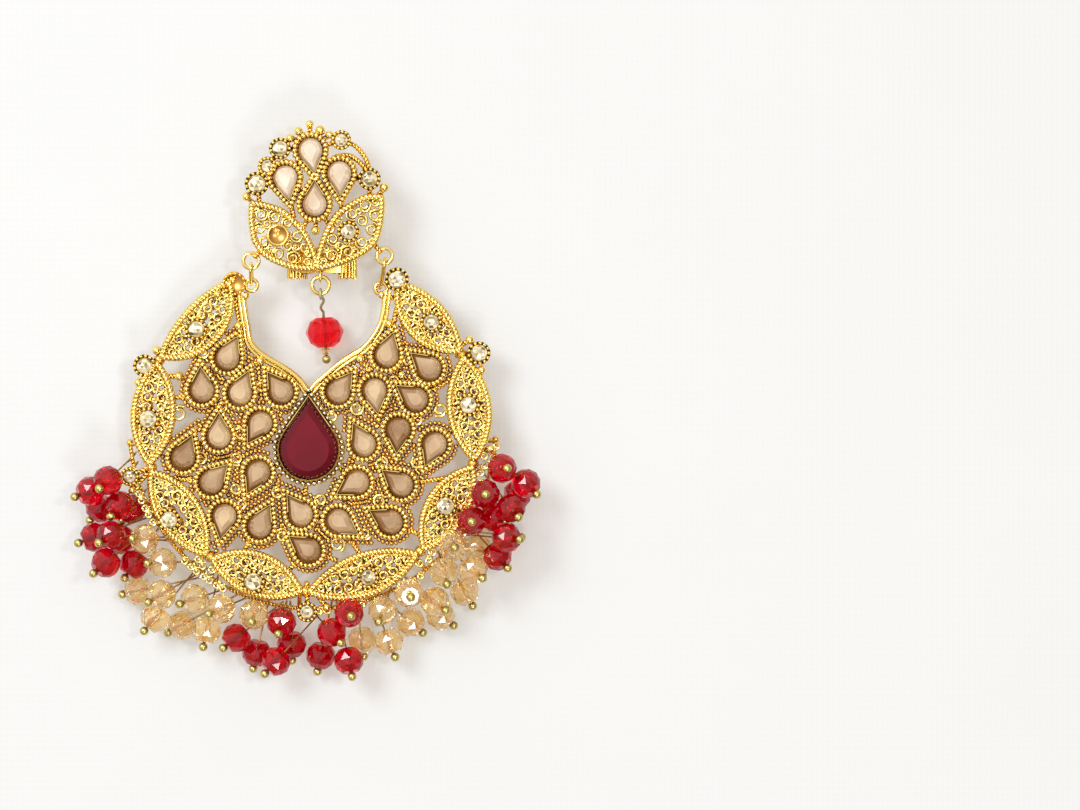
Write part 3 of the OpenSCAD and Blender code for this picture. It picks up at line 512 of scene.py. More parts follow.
def pear_outline(place, r, tip, count=28):
    """A pear's outline, from its tip round the bowl and back."""
    x, y, turn = place
    side = acos(r / tip)
    spin = Matrix.Rotation(radians(turn), 2)
    bowl = [side + (2 * pi - 2 * side) * i / count for i in range(count + 1)]
    local = [Vector((tip, 0))] + [Vector((r * cos(a), r * sin(a))) for a in bowl]
    return [spin @ p + Vector((x, y)) for p in local]


def grown_pear(place, r, tip, by, count=28):
    """The same outline, moved out by a distance."""
    return pear_outline(place, r + by, tip + by * 1.9, count)


def leaf_arcs(leaf, inset):
    """The two circles whose overlap is a rim leaf: middle and radius of each, and the tips."""
    half = radians(leaf[1] - leaf[0]) / 2
    tip, chord = LEAF_TIP_R * sin(half), LEAF_TIP_R * cos(half)
    rise, drop = leaf[2] - chord, chord - leaf[3]
    out_r, in_r = (tip * tip + rise * rise) / (2 * rise), (tip * tip + drop * drop) / (2 * drop)
    out_x, in_x = leaf[2] - out_r, leaf[3] + in_r
    out_r, in_r = out_r - inset, in_r - inset
    x = (out_r ** 2 - in_r ** 2 - out_x ** 2 + in_x ** 2) / (2 * (in_x - out_x))
    return out_x, out_r, in_x, in_r, x, sqrt(out_r ** 2 - (x - out_x) ** 2)


def on_leaf(leaf, x, y):
    """A place in a leaf's own drawing, put where the leaf lies on the rim."""
    turn = radians(leaf[0] + leaf[1]) / 2
    return Vector((MID[0] + x * cos(turn) - y * sin(turn), MID[1] + x * sin(turn) + y * cos(turn)))


def leaf_outline(leaf, inset, count=20):
    out_x, out_r, in_x, in_r, x, tip = leaf_arcs(leaf, inset)
    a, b = atan2(tip, x - out_x), atan2(tip, in_x - x)
    outer = [-a + 2 * a * i / count for i in range(count)]
    inner = [pi - b + 2 * b * i / count for i in range(count)]
    line = [(out_x + out_r * cos(t), out_r * sin(t)) for t in outer]
    line += [(in_x + in_r * cos(t), in_r * sin(t)) for t in inner]
    return [on_leaf(leaf, px, py) for px, py in line]


def coil(x, y, radius, start, hand, turns=1.6, eye=0.36):
    """A scroll that winds in from its outside to a small eye."""
    steps = int(13 * turns)
    line = []
    for i in range(steps + 1):
        t = i / steps
        r = radius * (1 - (1 - eye) * t)
        a = start + hand * 2 * pi * turns * t
        line.append(Vector((x + r * cos(a), y + r * sin(a))))
    return line


# %% [markdown]
# ## Wire, grains and slabs
# A curve with a bevel makes a clean round wire, so lines become wire through a short-lived
# curve object. Scaling that wire in height afterwards gives the flat wire that filigree
# scrolls are bent from. Grains are small UV spheres: forty faces are plenty for something
# half a millimetre across.

# %% Wire from lines
def add_wires(bm, lines, radius, z, closed=False, tall=1.0, sides=1, material=0, swell=0.0):
    """Round wire along flat lines at height z, or along 3-D lines when z is None.

    With swell, every second point is thinner by that share, which gives beaded wire.
    """
    curve = bpy.data.curves.new("wire", "CURVE")
    curve.dimensions = "3D"
    curve.bevel_depth = radius
    curve.bevel_resolution = sides
    curve.use_fill_caps = True
    for line in lines:
        spline = curve.splines.new("POLY")
        spline.points.add(len(line) - 1)
        for k, (point, at) in enumerate(zip(spline.points, line)):
            point.co = (at[0], at[1], at[2] if z is None else 0, 1)
            point.radius = 1 - swell * (k % 2)
        spline.use_cyclic_u = closed
    holder = bpy.data.objects.new("wire", curve)
    mesh = bpy.data.meshes.new_from_object(holder)
    if z is not None:
        mesh.transform(Matrix.Translation((0, 0, z)) @ Matrix.Diagonal((1, 1, tall, 1)))
    mesh.polygons.foreach_set("material_index", [material] * len(mesh.polygons))
    bm.from_mesh(mesh)
    bpy.data.objects.remove(holder)
    bpy.data.curves.remove(curve)
    bpy.data.meshes.remove(mesh)


def eye_line(r):
    """The closed eye at a pin's end, round the origin in X and Z."""
    return [(r * cos(t), 0, r * sin(t)) for t in [2 * pi * i / 16 for i in range(17)]]


def add_twist(bm, line, z, closed, strand=0.23, pitch=1.15, material=0):
    """Two strands wound round each other along a flat line."""
    turns = max(1, round(line_length(line, closed) / pitch))
    count = turns * 9 + (0 if closed else 1)
    places = deal_out(line, count, closed)
    strands = []
    for half in (0, pi):
        strand_line = []
        for k, (point, along) in enumerate(places):
            angle = 2 * pi * k / 9 + half
            across = strand * 0.9 * cos(angle)
            strand_line.append((point.x - along.y * across, point.y + along.x * across,
                                z + strand * 0.9 * sin(angle)))
        strands.append(strand_line)
    add_wires(bm, strands, strand, None, closed=closed, material=material)


def add_beaded_wires(bm, lines, radius, z, tall=1.4, material=0, pitch=0.5):
    """Open lines of beaded wire, two points to each bead of the wire."""
    rows = []
    for line in lines:
        count = 2 * max(2, round(line_length(line, False) / pitch)) + 1
        rows.append([point for point, along in deal_out(line, count, False)])
    add_wires(bm, rows, radius, z, tall=tall, material=material, swell=0.28)


def add_ring(bm, x, y, z, r, wire, material=1):
    turns = [2 * pi * i / 32 for i in range(32)]
    line = [(x + r * cos(a), y + r * sin(a), z) for a in turns]
    add_wires(bm, [line], wire, None, closed=True, sides=2, material=material)


# %% Grains, balls and slabs
def merge(bm, part):
    """Adds a small bmesh to a large one. An operator is quick only while its mesh is small."""
    mesh = bpy.data.meshes.new("part")
    part.to_mesh(mesh)
    part.free()
    bm.from_mesh(mesh)
    bpy.data.meshes.remove(mesh)


def add_grain(bm, x, y, z, size, turn=0.0, wide=8, rows=5, material=0):
    """A small ball stretched to size, turned about +Z."""
    place = Matrix.Translation((x, y, z)) @ Matrix.Rotation(turn, 4, "Z")
    place @= Matrix.Diagonal((*size, 1))
    made = bmesh.ops.create_uvsphere(
        bm, u_segments=wide, v_segments=rows, radius=0.5, matrix=place)
    for face in {f for v in made["verts"] for f in v.link_faces}:
        face.material_index = material


# How far a grain leans from its row, in radians.
SLANT = 0.3


def add_beading(bm, line, z, pitch, size, material=0):
    """A closed row of grains that lean a little, as beaded wire does."""
    row = bmesh.new()
    count = max(6, round(line_length(line, True) / pitch))
    for point, along in deal_out(line, count, True):
        turn = atan2(along.y, along.x) + SLANT
        add_grain(row, point.x, point.y, z, size, turn, material=material)
    merge(bm, row)


def add_slab(bm, outline, low, high):
    face = bm.faces.new([bm.verts.new((x, y, low)) for x, y in outline])
    grown = bmesh.ops.extrude_face_region(bm, geom=[face])
    moved = [part for part in grown["geom"] if isinstance(part, bmesh.types.BMVert)]
    bmesh.ops.translate(bm, vec=(0, 0, high - low), verts=moved)


# %% [markdown]
# ## Settings
# Each pear stone sits on a closed floor. A row of bright grains holds its edge, and two short
# wires guard its tip. Beaded wire from a curve would be lighter, but it has no separate grains
# to catch the light, so each grain is a ball of its own.
# On the crescent a second row runs outside the first. It lies lower, and its gold is painted
# darker as shade. It fills the field between the settings, and stops where a neighbour, a leaf
# or the scoop needs the room.

# %% Pear settings and beading
# Each row's distance from the stone, its height over the plate, and the size of its grains.
NEAR_ROW, NEAR_Z, NEAR_GRAIN = 0.42, 0.3, (0.74, 1.04, 1.0)
FAR_ROW, FAR_Z, FAR_GRAIN = 1.2, -0.55, (0.66, 0.84, 0.8)
CENTRE_GRAIN = (0.74, 0.8, 1.3)
# Room that the far row leaves round a pear stone, the centre stone, a leaf and the scoop.
PEAR_ROOM, CENTRE_ROOM, LEAF_ROOM, SCOOP_ROOM = 1.12, 1.25, 0.6, 0.8


def add_pear_setting(bm, place, r, tip, back, top):
    add_slab(bm, grown_pear(place, r, tip, SLACK + 0.72), back, top - SEAT)
    outline = [Vector(p) for p in grown_pear(place, r, tip, SLACK)]
    sides = [outline[0].lerp(end, 0.85) for end in (outline[1], outline[-1])]
    add_wires(bm, [[sides[0], outline[0], sides[1]]], 0.14, top + 0.4, tall=2, material=1)


def add_near_row(bm, place, r, tip, top, size=NEAR_GRAIN, pitch=0.65, material=0):
    line = grown_pear(place, r, tip, SLACK + NEAR_ROW)
    add_beading(bm, line, top + NEAR_Z, pitch, size, material)


def scoop_edge(x):
    """How high the scoop's edge lies at x. Outside the scoop there is no limit."""
    for a, b in zip(SCOOP, SCOOP[1:]):
        if a[0] <= x <= b[0]:
            return a[1] + (b[1] - a[1]) * (x - a[0]) / (b[0] - a[0])
    return 99


def add_far_row(bm, place, taken, top, pitch=0.62):
    """The second row of grains, left out where something else already stands."""
    line = grown_pear(place, PEAR_R, PEAR_TIP, SLACK + FAR_ROW)
    row = bmesh.new()
    for point, along in deal_out(line, round(line_length(line, True) / pitch), True):
        clear = all((point - spot).length > room for spot, room in taken)
        if clear and point.y < scoop_edge(point.x) - SCOOP_ROOM:
            turn = atan2(along.y, along.x) + SLANT
            # The far row's grains take material 2, gold painted darker as shade.
            add_grain(row, point.x, point.y, top + FAR_Z, FAR_GRAIN, turn, material=2)
    merge(bm, row)


def crescent_places():
    """Each stone and leaf with the spots along its outline and the room that they need."""
    rows = [(place, pear_outline(place, PEAR_R, PEAR_TIP), PEAR_ROOM) for place in CRESCENT_PEARS]
    rows.append((MAIN_PEAR, pear_outline(MAIN_PEAR, MAIN_R, MAIN_TIP, 60), CENTRE_ROOM))
    rows += [(leaf, leaf_outline(leaf, 0.46, 40), LEAF_ROOM) for leaf in LEAVES]
    return [(owner, [(spot, room) for spot in outline]) for owner, outline, room in rows]


def build_settings(name, plate, pears, back, top, main=None):
    bm = bmesh.new()
    for place in pears:
        add_pear_setting(bm, place, PEAR_R, PEAR_TIP, back, top)
    if main:
        add_pear_setting(bm, main, MAIN_R, MAIN_TIP, back, top)
    finish(bm, name + "_settings", [gilding, bright_wire], [plate])
    bm = bmesh.new()
    for place in pears:
        add_near_row(bm, place, PEAR_R, PEAR_TIP, top)
    if main:
        add_near_row(bm, main, MAIN_R, MAIN_TIP, top, CENTRE_GRAIN, 0.8, 1)
        places = crescent_places()
        for place in pears:
            taken = [spot for owner, spots in places if owner != place for spot in spots]
            add_far_row(bm, place, taken, top)
    finish(bm, name + "_beading", [beading_gold, aged_and_shaded_silver, low_shaded_gold], [plate])


build_settings(
    "crescent", "crescent_plate", CRESCENT_PEARS, CRESCENT_BACK, CRESCENT_TOP, MAIN_PEAR)
build_settings("stud", "stud_plate", STUD_PEARS, STUD_BACK, STUD_TOP)


# %% [markdown]
# ## Collets
# The small round stones sit in cups: a cone whose lid is inset and pushed down. A ring of
# claws, pressed over the stone's edge, makes the grainy dark rim that the eye reads as a
# crown. The cup's floor is the gilding painted darker and browner, as the shade at the bottom
# of a cup. One cup on the crescent's left horn and one in the stud's left leaf have lost their
# stones and show a bare floor. The first keeps its claws, and the second has a plain rim.

# %% Collets with claws
def add_collet(bm, row, back, top, claws=13, plain=False):
    x, y, r = row[:3]
    high = top + 0.5
    part = bmesh.new()
    cup = bmesh.ops.create_cone(
        part, segments=24, radius1=r + 0.3, radius2=r + 0.46, depth=high - back, cap_ends=True,
        matrix=Matrix.Translation((x, y, (high + back) / 2)))
    lid = [f for f in {f for v in cup["verts"] for f in v.link_faces}
           if f.calc_center_median().z > high - 0.01]
    bmesh.ops.inset_region(part, faces=lid, thickness=0.3)
    bmesh.ops.translate(part, vec=(0, 0, -0.6), verts=list({v for f in lid for v in f.verts}))
    # The pushed-down lid is the cup's floor, in gold painted as shade.
    for face in part.faces:
        face.material_index = 2 if face in lid else 1
    if plain:
        merge(bm, part)
        add_ring(bm, x, y, high, r + 0.3, 0.22)
        return
    for k in range(claws):
        a = 2 * pi * k / claws
        add_grain(part, x + (r + 0.24) * cos(a), y + (r + 0.24) * sin(a), top + 0.58,
                  (0.52, 0.62, 0.6), a, wide=6, rows=5, material=1)
    merge(bm, part)


def build_collets(name, plate, rounds, plain, back, top):
    bm = bmesh.new()
    for i, row in enumerate(rounds):
        add_collet(bm, row, back, top, plain=i == plain)
    finish(bm, name + "_collets", [gilding, claw_gold, shaded_cup_floor], [plate])


build_collets("crescent", "crescent_plate", CRESCENT_ROUNDS, None, CRESCENT_BACK, CRESCENT_TOP)
build_collets("stud", "stud_plate", STUD_ROUNDS, EMPTY_STUD, STUD_BACK, STUD_TOP)


# %% [markdown]
# ## Rim leaves
# Eight almond leaves make the rim. Their edge is twisted wire on a flat wire, with a fine row
# of grains inside it, and then come scrolls: pairs of coils that shrink towards the tips. The
# coils are laid by the leaf's own width at each place, so every leaf fills itself whatever its
# length. One list of coils, mirrored twice, serves all eight leaves.

# %% Scrolls of a rim leaf
# Along the leaf as a share of its half length, across as a share of its half width, size.
LEAF_COILS = [
    (0.0, 0.36, 0.7), (0.0, 0.86, 0.66), (0.15, 0.4, 0.6), (0.19, 0.86, 0.7), (0.28, 0.0, 0.4),
    (0.34, 0.46, 0.86), (0.41, 0.95, 0.46), (0.54, 0.52, 0.85), (0.5, 0.0, 0.42),
    (0.69, 0.0, 0.55), (0.72, 0.62, 0.5), (0.84, 0.0, 0.55),
]


def across_leaf(leaf, inset, along, across):
    """A place in the leaf: shares of its half length and half width."""
    out_x, out_r, in_x, in_r, x, tip = leaf_arcs(leaf, inset)
    y = along * tip
    high, low = out_x + sqrt(out_r ** 2 - y * y), in_x - sqrt(in_r ** 2 - y * y)
    return (high + low) / 2 + across * (high - low) / 2, y


def leaf_lines(leaf):
    """The scrolls of one leaf, the same in its four quarters."""
    lines = []
    for along, across, size in LEAF_COILS:
        for end in (-1, 1):
            for side in (-1, 1):
                if (along == 0 and end > 0) or (across == 0 and side > 0):
                    continue
                x, y = across_leaf(leaf, 0.8, end * along, side * across)
                start = atan2(-end, side * 0.6)
                lines.append([on_leaf(leaf, cx, cy) for cx, cy in
                              coil(x, y, size, start, end * side, turns=1.3)])
    return lines


def leaf_waves(leaf):
    """Wavy wires from tip to tip under the scrolls. They close the leaf's gaps with shade."""
    steps = 48
    shares = [-0.92 + 1.84 * i / steps for i in range(steps + 1)]
    waves = ((-0.75, 17), (-0.28, 23), (0.28, 21), (0.75, 19))
    return [[on_leaf(leaf, *across_leaf(leaf, 0.8, t, middle + 0.14 * cos(turn * t)))
             for t in shares] for middle, turn in waves]


def build_rim_leaves():
    bm = bmesh.new()
    edge, foot = CRESCENT_TOP + 0.02, CRESCENT_BACK + 0.5
    for leaf in LEAVES:
        add_twist(bm, leaf_outline(leaf, 0.46), edge, True, strand=0.3, material=1)
        add_wires(bm, [leaf_outline(leaf, 0.46)], 0.28, foot, closed=True, tall=1.9)
    finish(bm, "leaf_edges", [gilding, bright_wire], ["crescent_plate"])
    bm = bmesh.new()
    for leaf in LEAVES:
        add_beaded_wires(bm, leaf_lines(leaf), 0.27, CRESCENT_TOP - 0.05)
        add_wires(bm, leaf_waves(leaf), 0.24, CRESCENT_BACK + 0.45, tall=1.4, material=1)
        add_beading(bm, leaf_outline(leaf, 1.02), CRESCENT_TOP, 0.52, (0.5, 0.46, 0.5))
    finish(bm, "leaf_scrolls", [scroll_gold, shaded_gold], ["crescent_plate"])


build_rim_leaves()


# %% Stud leaves
def centre(leaf):
    return Vector((sum(p[0] for p in leaf) / len(leaf), sum(p[1] for p in leaf) / len(leaf)))


def build_stud_leaves():
    bm = bmesh.new()
    for leaf in (LEFT_LEAF, RIGHT_LEAF):
        ring = smooth_line(leaf + leaf[:1], 4)[:-1]
        inner = [p + 0.4 * (centre(leaf) - p).normalized() for p in ring]
        add_twist(bm, inner, STUD_TOP + 0.05, True, strand=0.29, material=1)
        add_wires(bm, [inner], 0.28, STUD_BACK + 0.45, closed=True, tall=1.7)
    lines = [
        coil(x, y, r + 0.05, radians(40 + 67 * i), 1 if i % 2 else -1, turns=1.4, eye=0.34)
        for i, (x, y, r) in enumerate(STUD_COILS)]
    add_beaded_wires(bm, lines, 0.26, STUD_TOP - 0.05, material=2)
    finish(bm, "stud_leaves", [gilding, bright_wire, scroll_gold], ["stud_plate"])


build_stud_leaves()


# %% [markdown]
# ## Wires between the settings
# Short twisted wires carry the outer cups and balls and brace the settings, and small scrolls
# sit between them. Under the rim, open coils lie in fans and chains, with the rail below them
# that the head pins hang on. Round the scoop run two smooth wires side by side, the only plain
# bright line on the piece.

# %% Crescent wires
HORN_RINGS, HORN_RING_R, HORN_Z = [(-7.6, 16.4), (10.9, 15.9)], 0.85, CRESCENT_TOP - 0.45


def add_ball(bm, row, top):
    x, y, r = row[:3]
    across = 1.98 * r
    add_grain(bm, x, y, top - 0.3 + r * 0.55, (across, across, across), wide=12, rows=8, material=1)


def stems(rows, braces):
    lines = [[(row[3], row[4]), (row[0], row[1])] for row in rows]
    return lines + [[(b[0], b[1]), (b[2], b[3])] for b in braces]


def build_crescent_wires():
    bm = bmesh.new()
    middle = (CRESCENT_BACK + CRESCENT_TOP) / 2
    for line in stems(CRESCENT_ROUNDS + CRESCENT_BALLS, CRESCENT_BRACES):
        add_twist(bm, line, middle + 0.1, False, strand=0.22, pitch=1.0)
    scrolls = [coil(x, y, r - 0.3, radians(50 * i), 1 if i % 2 else -1, turns=1.2, eye=0.5)
               for i, (x, y, r) in enumerate(CRESCENT_SCROLLS)]
    add_beaded_wires(bm, scrolls, 0.3, CRESCENT_TOP - 0.3, material=1, pitch=0.6)
    chains = [(first + (last - first) * k / (count - 1), CHAIN_PLACE, CHAIN_RING)
              for first, last, count in RIM_CHAINS for k in range(count)]
    fans = [
        coil(*on_rim(turn, far), size - 0.2, radians(turn + 180), 1 if i % 2 else -1, turns=1.3)
        for i, (turn, far, size) in enumerate(RIM_RINGS + chains)]
    add_beaded_wires(bm, fans, 0.24, middle + 0.2, material=1)
    scoop = smooth_line(SCOOP)
    add_wires(bm, [aside(scoop, 0.1)], 0.4, CRESCENT_TOP, sides=3, material=1)
    add_wires(bm, [aside(scoop, -0.45)], 0.28, CRESCENT_TOP - 0.15, sides=2, material=1)
    add_wires(bm, [scoop], 0.5, middle - 0.1, tall=1.1)
    for row in CRESCENT_BALLS:
        add_ball(bm, row, CRESCENT_TOP)
    for leaf in LEAVES:
        add_grain(bm, *on_rim(leaf[0], LEAF_TIP_R - 0.3), middle, (1.7, 1.7, 1.7), wide=12, rows=8)
    for x, y in HORN_RINGS:
        add_ring(bm, x, y, HORN_Z, HORN_RING_R, 0.28)
    finish(bm, "crescent_wires", [gilding, bright_wire], ["crescent_plate"])


build_crescent_wires()


# %% Rail under the rim
RAIL_STRUTS = (186, 205.7, 223.5, 265.8, 308, 355)
STRUT_WIRE = 0.33


def build_rail():
    bm = bmesh.new()
    line = [(*on_rim(185.5 + 170 * i / 96, RAIL_R), RAIL_Z) for i in range(97)]
    add_twist(bm, line, RAIL_Z, False, strand=0.18, pitch=1.0)
    for end in (line[0], line[-1]):
        add_grain(bm, *end, (1.1, 1.1, 1.1), wide=12, rows=8)
    for turn in RAIL_STRUTS:
        ends = ((LEAF_TIP_R - 0.3, CRESCENT_BACK + 0.1), (RAIL_R, RAIL_Z))
        strut = [(*on_rim(turn, far), z) for far, z in ends]
        add_wires(bm, [strut], STRUT_WIRE, None)
    finish(bm, "rim_rail", [gilding], ["crescent_plate"])


build_rail()


# %% Stud wires, rings and bail
BAIL = (2.4, 17.55)
RING_Z = STUD_BACK + 0.4
STUD_RINGS, STUD_RING_R = [(-7.5, 19.8), (11.5, 20.5)], 1.1


def build_stud_wires():
    bm = bmesh.new()
    middle = (STUD_BACK + STUD_TOP) / 2
    ring_stems = [[(-7, 20.3), (-5.2, 22.2)], [(11, 21), (9.6, 22.6)], [(2.4, 18.2), (2.4, 20.5)]]
    arches = [smooth_line(line) for line in STUD_ARCHES]
    for line in stems(STUD_ROUNDS + STUD_BALLS, STUD_BRACES) + ring_stems + arches:
        add_twist(bm, line, middle + 0.1, False, strand=0.21, pitch=1.0)
    for row in STUD_BALLS:
        add_ball(bm, row, STUD_TOP)
    for x, y in STUD_RINGS:
        add_ring(bm, x, y, RING_Z, STUD_RING_R, 0.28)
    upright = [(BAIL[0], BAIL[1] + 0.7 * cos(a), RING_Z + 0.7 * sin(a))
               for a in [2 * pi * i / 24 for i in range(24)]]
    add_wires(bm, [upright], 0.22, None, closed=True, sides=2, material=1)
    finish(bm, "stud_wires", [gilding, bright_wire], ["stud_plate"])


build_stud_wires()


# %% [markdown]
# ## Fastening and links
# The stud has a straight post behind it with a nut of two curled, ribbed wings. A wing is one
# line that winds in, extruded and thickened, which keeps the strip's width even all along.
# Two long links carry the crescent. A link's line is a straight run with two half turns.

# %% Post and nut
POST = (2.4, 19.9)


def build_post():
    bm = bmesh.new()
    high = STUD_BACK - 0.05
    bmesh.ops.create_cone(bm, segments=20, radius1=0.4, radius2=0.4, depth=high, cap_ends=True,
                          matrix=Matrix.Translation((*POST, high / 2)))
    tip = [e for e in bm.edges if all(v.co.z < 0.01 for v in e.verts)]
    bmesh.ops.bevel(bm, geom=tip, offset=0.12, segments=2, affect="EDGES", profile=0.5, material=-1)
    finish(bm, "ear_post_wire", [bright_wire], ["ear_post"])


def add_rods(bm, side, top, curl, length):
    """One wing is pressed from ribbed strip: rods lie side by side round its curl."""
    cx, cz = POST[0] + side * 2.8, top - curl - 0.15
    for k in range(13):
        a = pi / 2 - side * (0.1 + 0.27 * k)
        x, z, reach = cx + curl * cos(a), cz + curl * sin(a), length / 2 - 0.14 * (k % 2)
        add_wires(bm, [[(x, POST[1] - reach, z), (x, POST[1] + reach, z)]], 0.2, None, sides=2)


def build_nut():
    """Strip metal, curled in at both ends: a line that winds in, extruded and thickened."""
    bm = bmesh.new()
    top, curl, length = STUD_BACK - 0.45, 2.0, 5.1
    for side in (-1, 1):
        part = bmesh.new()
        cx, cz = side * 2.8, top - curl - 0.15
        turns = [pi / 2 - side * (0.15 + i * 0.31) for i in range(20)]
        line = [(side * 0.5, top)] + [
            (cx + (curl - 0.03 * i) * cos(a), cz + (curl - 0.03 * i) * sin(a))
            for i, a in enumerate(turns)]
        row = [part.verts.new((POST[0] + x, POST[1] - length / 2 + 0.8, z)) for x, z in line]
        edges = [part.edges.new((a, b)) for a, b in zip(row, row[1:])]
        grown = bmesh.ops.extrude_edge_only(part, edges=edges)
        moved = [piece for piece in grown["geom"] if isinstance(piece, bmesh.types.BMVert)]
        bmesh.ops.translate(part, vec=(0, length - 1.6, 0), verts=moved)
        walls = [piece for piece in grown["geom"] if isinstance(piece, bmesh.types.BMFace)]
        bmesh.ops.recalc_face_normals(part, faces=walls)
        bmesh.ops.solidify(part, geom=walls, thickness=0.26)
        merge(bm, part)
        add_rods(bm, side, top, curl, length)
    washer = bmesh.new()
    bmesh.ops.create_cone(
        washer, segments=24, radius1=1.1, radius2=1.1, depth=0.35, cap_ends=True,
        matrix=Matrix.Translation((*POST, top)))
    merge(bm, washer)
    finish(bm, "nut_wings", [gilding], ["scroll_nut"])


build_post()
build_nut()


# %% Links
def build_link(name, start, end, end_r=0.75, wire=0.25):
    a, b = Vector(start), Vector(end)
    along = (b - a).normalized()
    up = Vector((0, 0, 1)) - along * along.z
    up.normalize()
    half = [pi * i / 12 for i in range(13)]
    line = [b + end_r * (along * sin(t) + up * cos(t)) for t in half]
    line += [a - end_r * (along * sin(t) + up * cos(t)) for t in half]
    bm = bmesh.new()
    add_wires(bm, [line], wire, None, closed=True, sides=2)
    finish(bm, name + "_wire", [bright_wire], [name])


for link, high, low in zip(("link_left", "link_right"), STUD_RINGS, HORN_RINGS):
    build_link(link, (high[0], high[1] - STUD_RING_R, RING_Z),
               (low[0], low[1] + HORN_RING_R, HORN_Z))


# %% [markdown]
# ## Cut stones
# A convex hull over rings of points makes the flat facets of a cut stone by itself: each
# ring is turned by half a step against the one below, so the hull closes with kites and
# triangles. Faces that lie in one plane are joined again, which leaves true facets. Every
# facet then gets a number, which the materials read as its tone.

# %% Hull and facets
def new_stone():
    """An empty bmesh with a number for each facet. Adding it later would undo all references."""
    bm = bmesh.new()
    bm.faces.layers.float.new("facet")
    return bm


def add_cut(bm, points, seed, flat=2.0):
    """A faceted solid round some points. Returns its faces."""
    verts = [bmesh.ops.create_vert(bm, co=p)["vert"][0] for p in points]
    made = bmesh.ops.convex_hull(bm, input=verts)
    spare = [v for v in made["geom_interior"] + made["geom_unused"]
             if isinstance(v, bmesh.types.BMVert)]
    bmesh.ops.delete(bm, geom=list(set(spare)), context="VERTS")
    kept = [v for v in verts if v.is_valid]
    edges = list({e for v in kept for e in v.link_edges})
    bmesh.ops.dissolve_limit(bm, angle_limit=radians(flat), verts=kept, edges=edges)
    faces = list({f for v in kept if v.is_valid for f in v.link_faces})
    tone = bm.faces.layers.float["facet"]
    dice = random.Random(seed)
    for face in sorted(faces, key=lambda f: tuple(round(c, 3) for c in f.calc_center_median())):
        face[tone] = dice.random()
    return faces


def pear_ring(place, r, tip, z, count):
    return [(p.x, p.y, z) for p in pear_outline(place, r, tip, count)]


def round_ring(x, y, r, z, count, turn=0.0):
    return [(x + r * cos(2 * pi * (i + turn) / count), y + r * sin(2 * pi * (i + turn) / count), z)
            for i in range(count)]


# %% Pear stones
# How deep each stone's tone is, in turn.
CRESCENT_TONES = [0.2, 0.4, 0.1, 0.3, 0.0, 0.55, 0.15]
STUD_TONES = [0.0, 0.05, 0.2, 0.5]


def add_pear_stone(bm, place, r, tip, z, height, table, seed, count, deep=0.0):
    rings = [(0.72, 0.0, count), (1.0, 0.2, count), (1.0, 0.36, count),
             ((1.0 + table) / 2 + 0.04, 0.78, count + 1), (table, 1.0, count)]
    points = []
    for size, up, steps in rings:
        points += pear_ring(place, r * size, tip * size, z + height * up, steps)
    part = new_stone()
    faces = add_cut(part, points, seed)
    tone = part.faces.layers.float["facet"]
    for face in faces:
        face.normal_update()
        # A facet's number is the stone's own depth of tone, a random share, and painted shade:
        # sloping facets on the stone's left side are darker, as if the setting's wall shaded them.
        slope, left = 1 - abs(face.normal.z), (place[0] - face.calc_center_median().x) / r
        face[tone] = deep + 0.3 * face[tone] + 1.6 * slope * max(0, 0.6 + left)
    merge(bm, part)


def build_pear_stones():
    rows = [
        ("pear", CRESCENT_PEARS, CRESCENT_TOP, champagne_stone, "champagne_stone", CRESCENT_TONES),
        ("stud_pear", STUD_PEARS, STUD_TOP, pearly_stone, "pearly_stone", STUD_TONES)]
    for name, places, top, material, slot, tones in rows:
        bm = new_stone()
        for i, place in enumerate(places):
            add_pear_stone(bm, place, PEAR_R, PEAR_TIP, top - SEAT, PEAR_H, 0.5, 30 + i, 12,
                           tones[i % len(tones)])
        nodes = ["%s_%d" % (name, i + 1) for i in range(len(places))]
        finish(bm, name + "_stones", [material], nodes, sharp=20)
    bm = new_stone()
    add_pear_stone(bm, MAIN_PEAR, MAIN_R, MAIN_TIP, CRESCENT_TOP - SEAT, MAIN_H, 0.7, 5, 14)
    finish(bm, "centre_stone", [maroon_stone], ["main_stone"], sharp=12)


build_pear_stones()


# %% Round stones
def build_round_stones(name, rounds, empty, top):
    bm = new_stone()
    for i, (x, y, r, *_) in enumerate(rounds):
        if i == empty:
            continue
        z = top - SEAT
        points = round_ring(x, y, r * 0.4, z, 8) + round_ring(x, y, r, z + 0.45, 16)
        points += round_ring(x, y, r, z + 0.6, 16) + round_ring(x, y, r * 0.82, z + 0.86, 8, 0.5)
        points += round_ring(x, y, r * 0.5, z + 1.04, 6) + [Vector((x, y, z + 1.14))]
        part = new_stone()
        add_cut(part, points, 60 + i)
        merge(bm, part)
    finish(bm, name + "_stones", [white_stone], [name], sharp=6)


build_round_stones("crescent_rounds", CRESCENT_ROUNDS, EMPTY_CRESCENT, CRESCENT_TOP)
build_round_stones("stud_rounds", STUD_ROUNDS, EMPTY_STUD, STUD_TOP)


# %% [markdown]
# ## Threaded beads
# A faceted glass bead is rings of eight to twelve points, turned against each other, round a
# bore. The hull makes the outside. Its two flat ends are then inset, opened and joined to a
# tube for the pin. The drop's large bead is fuller near its ends than the rim beads.

# %% A drilled bead
BEAD_PROFILE = [(-0.5, 0.58), (-0.27, 0.9), (-0.02, 1.0), (0.02, 1.0), (0.27, 0.9), (0.5, 0.58)]
DROP_PROFILE = [(-0.5, 0.46), (-0.38, 0.76), (-0.06, 1.0), (0.02, 1.0), (0.34, 0.8), (0.5, 0.42)]


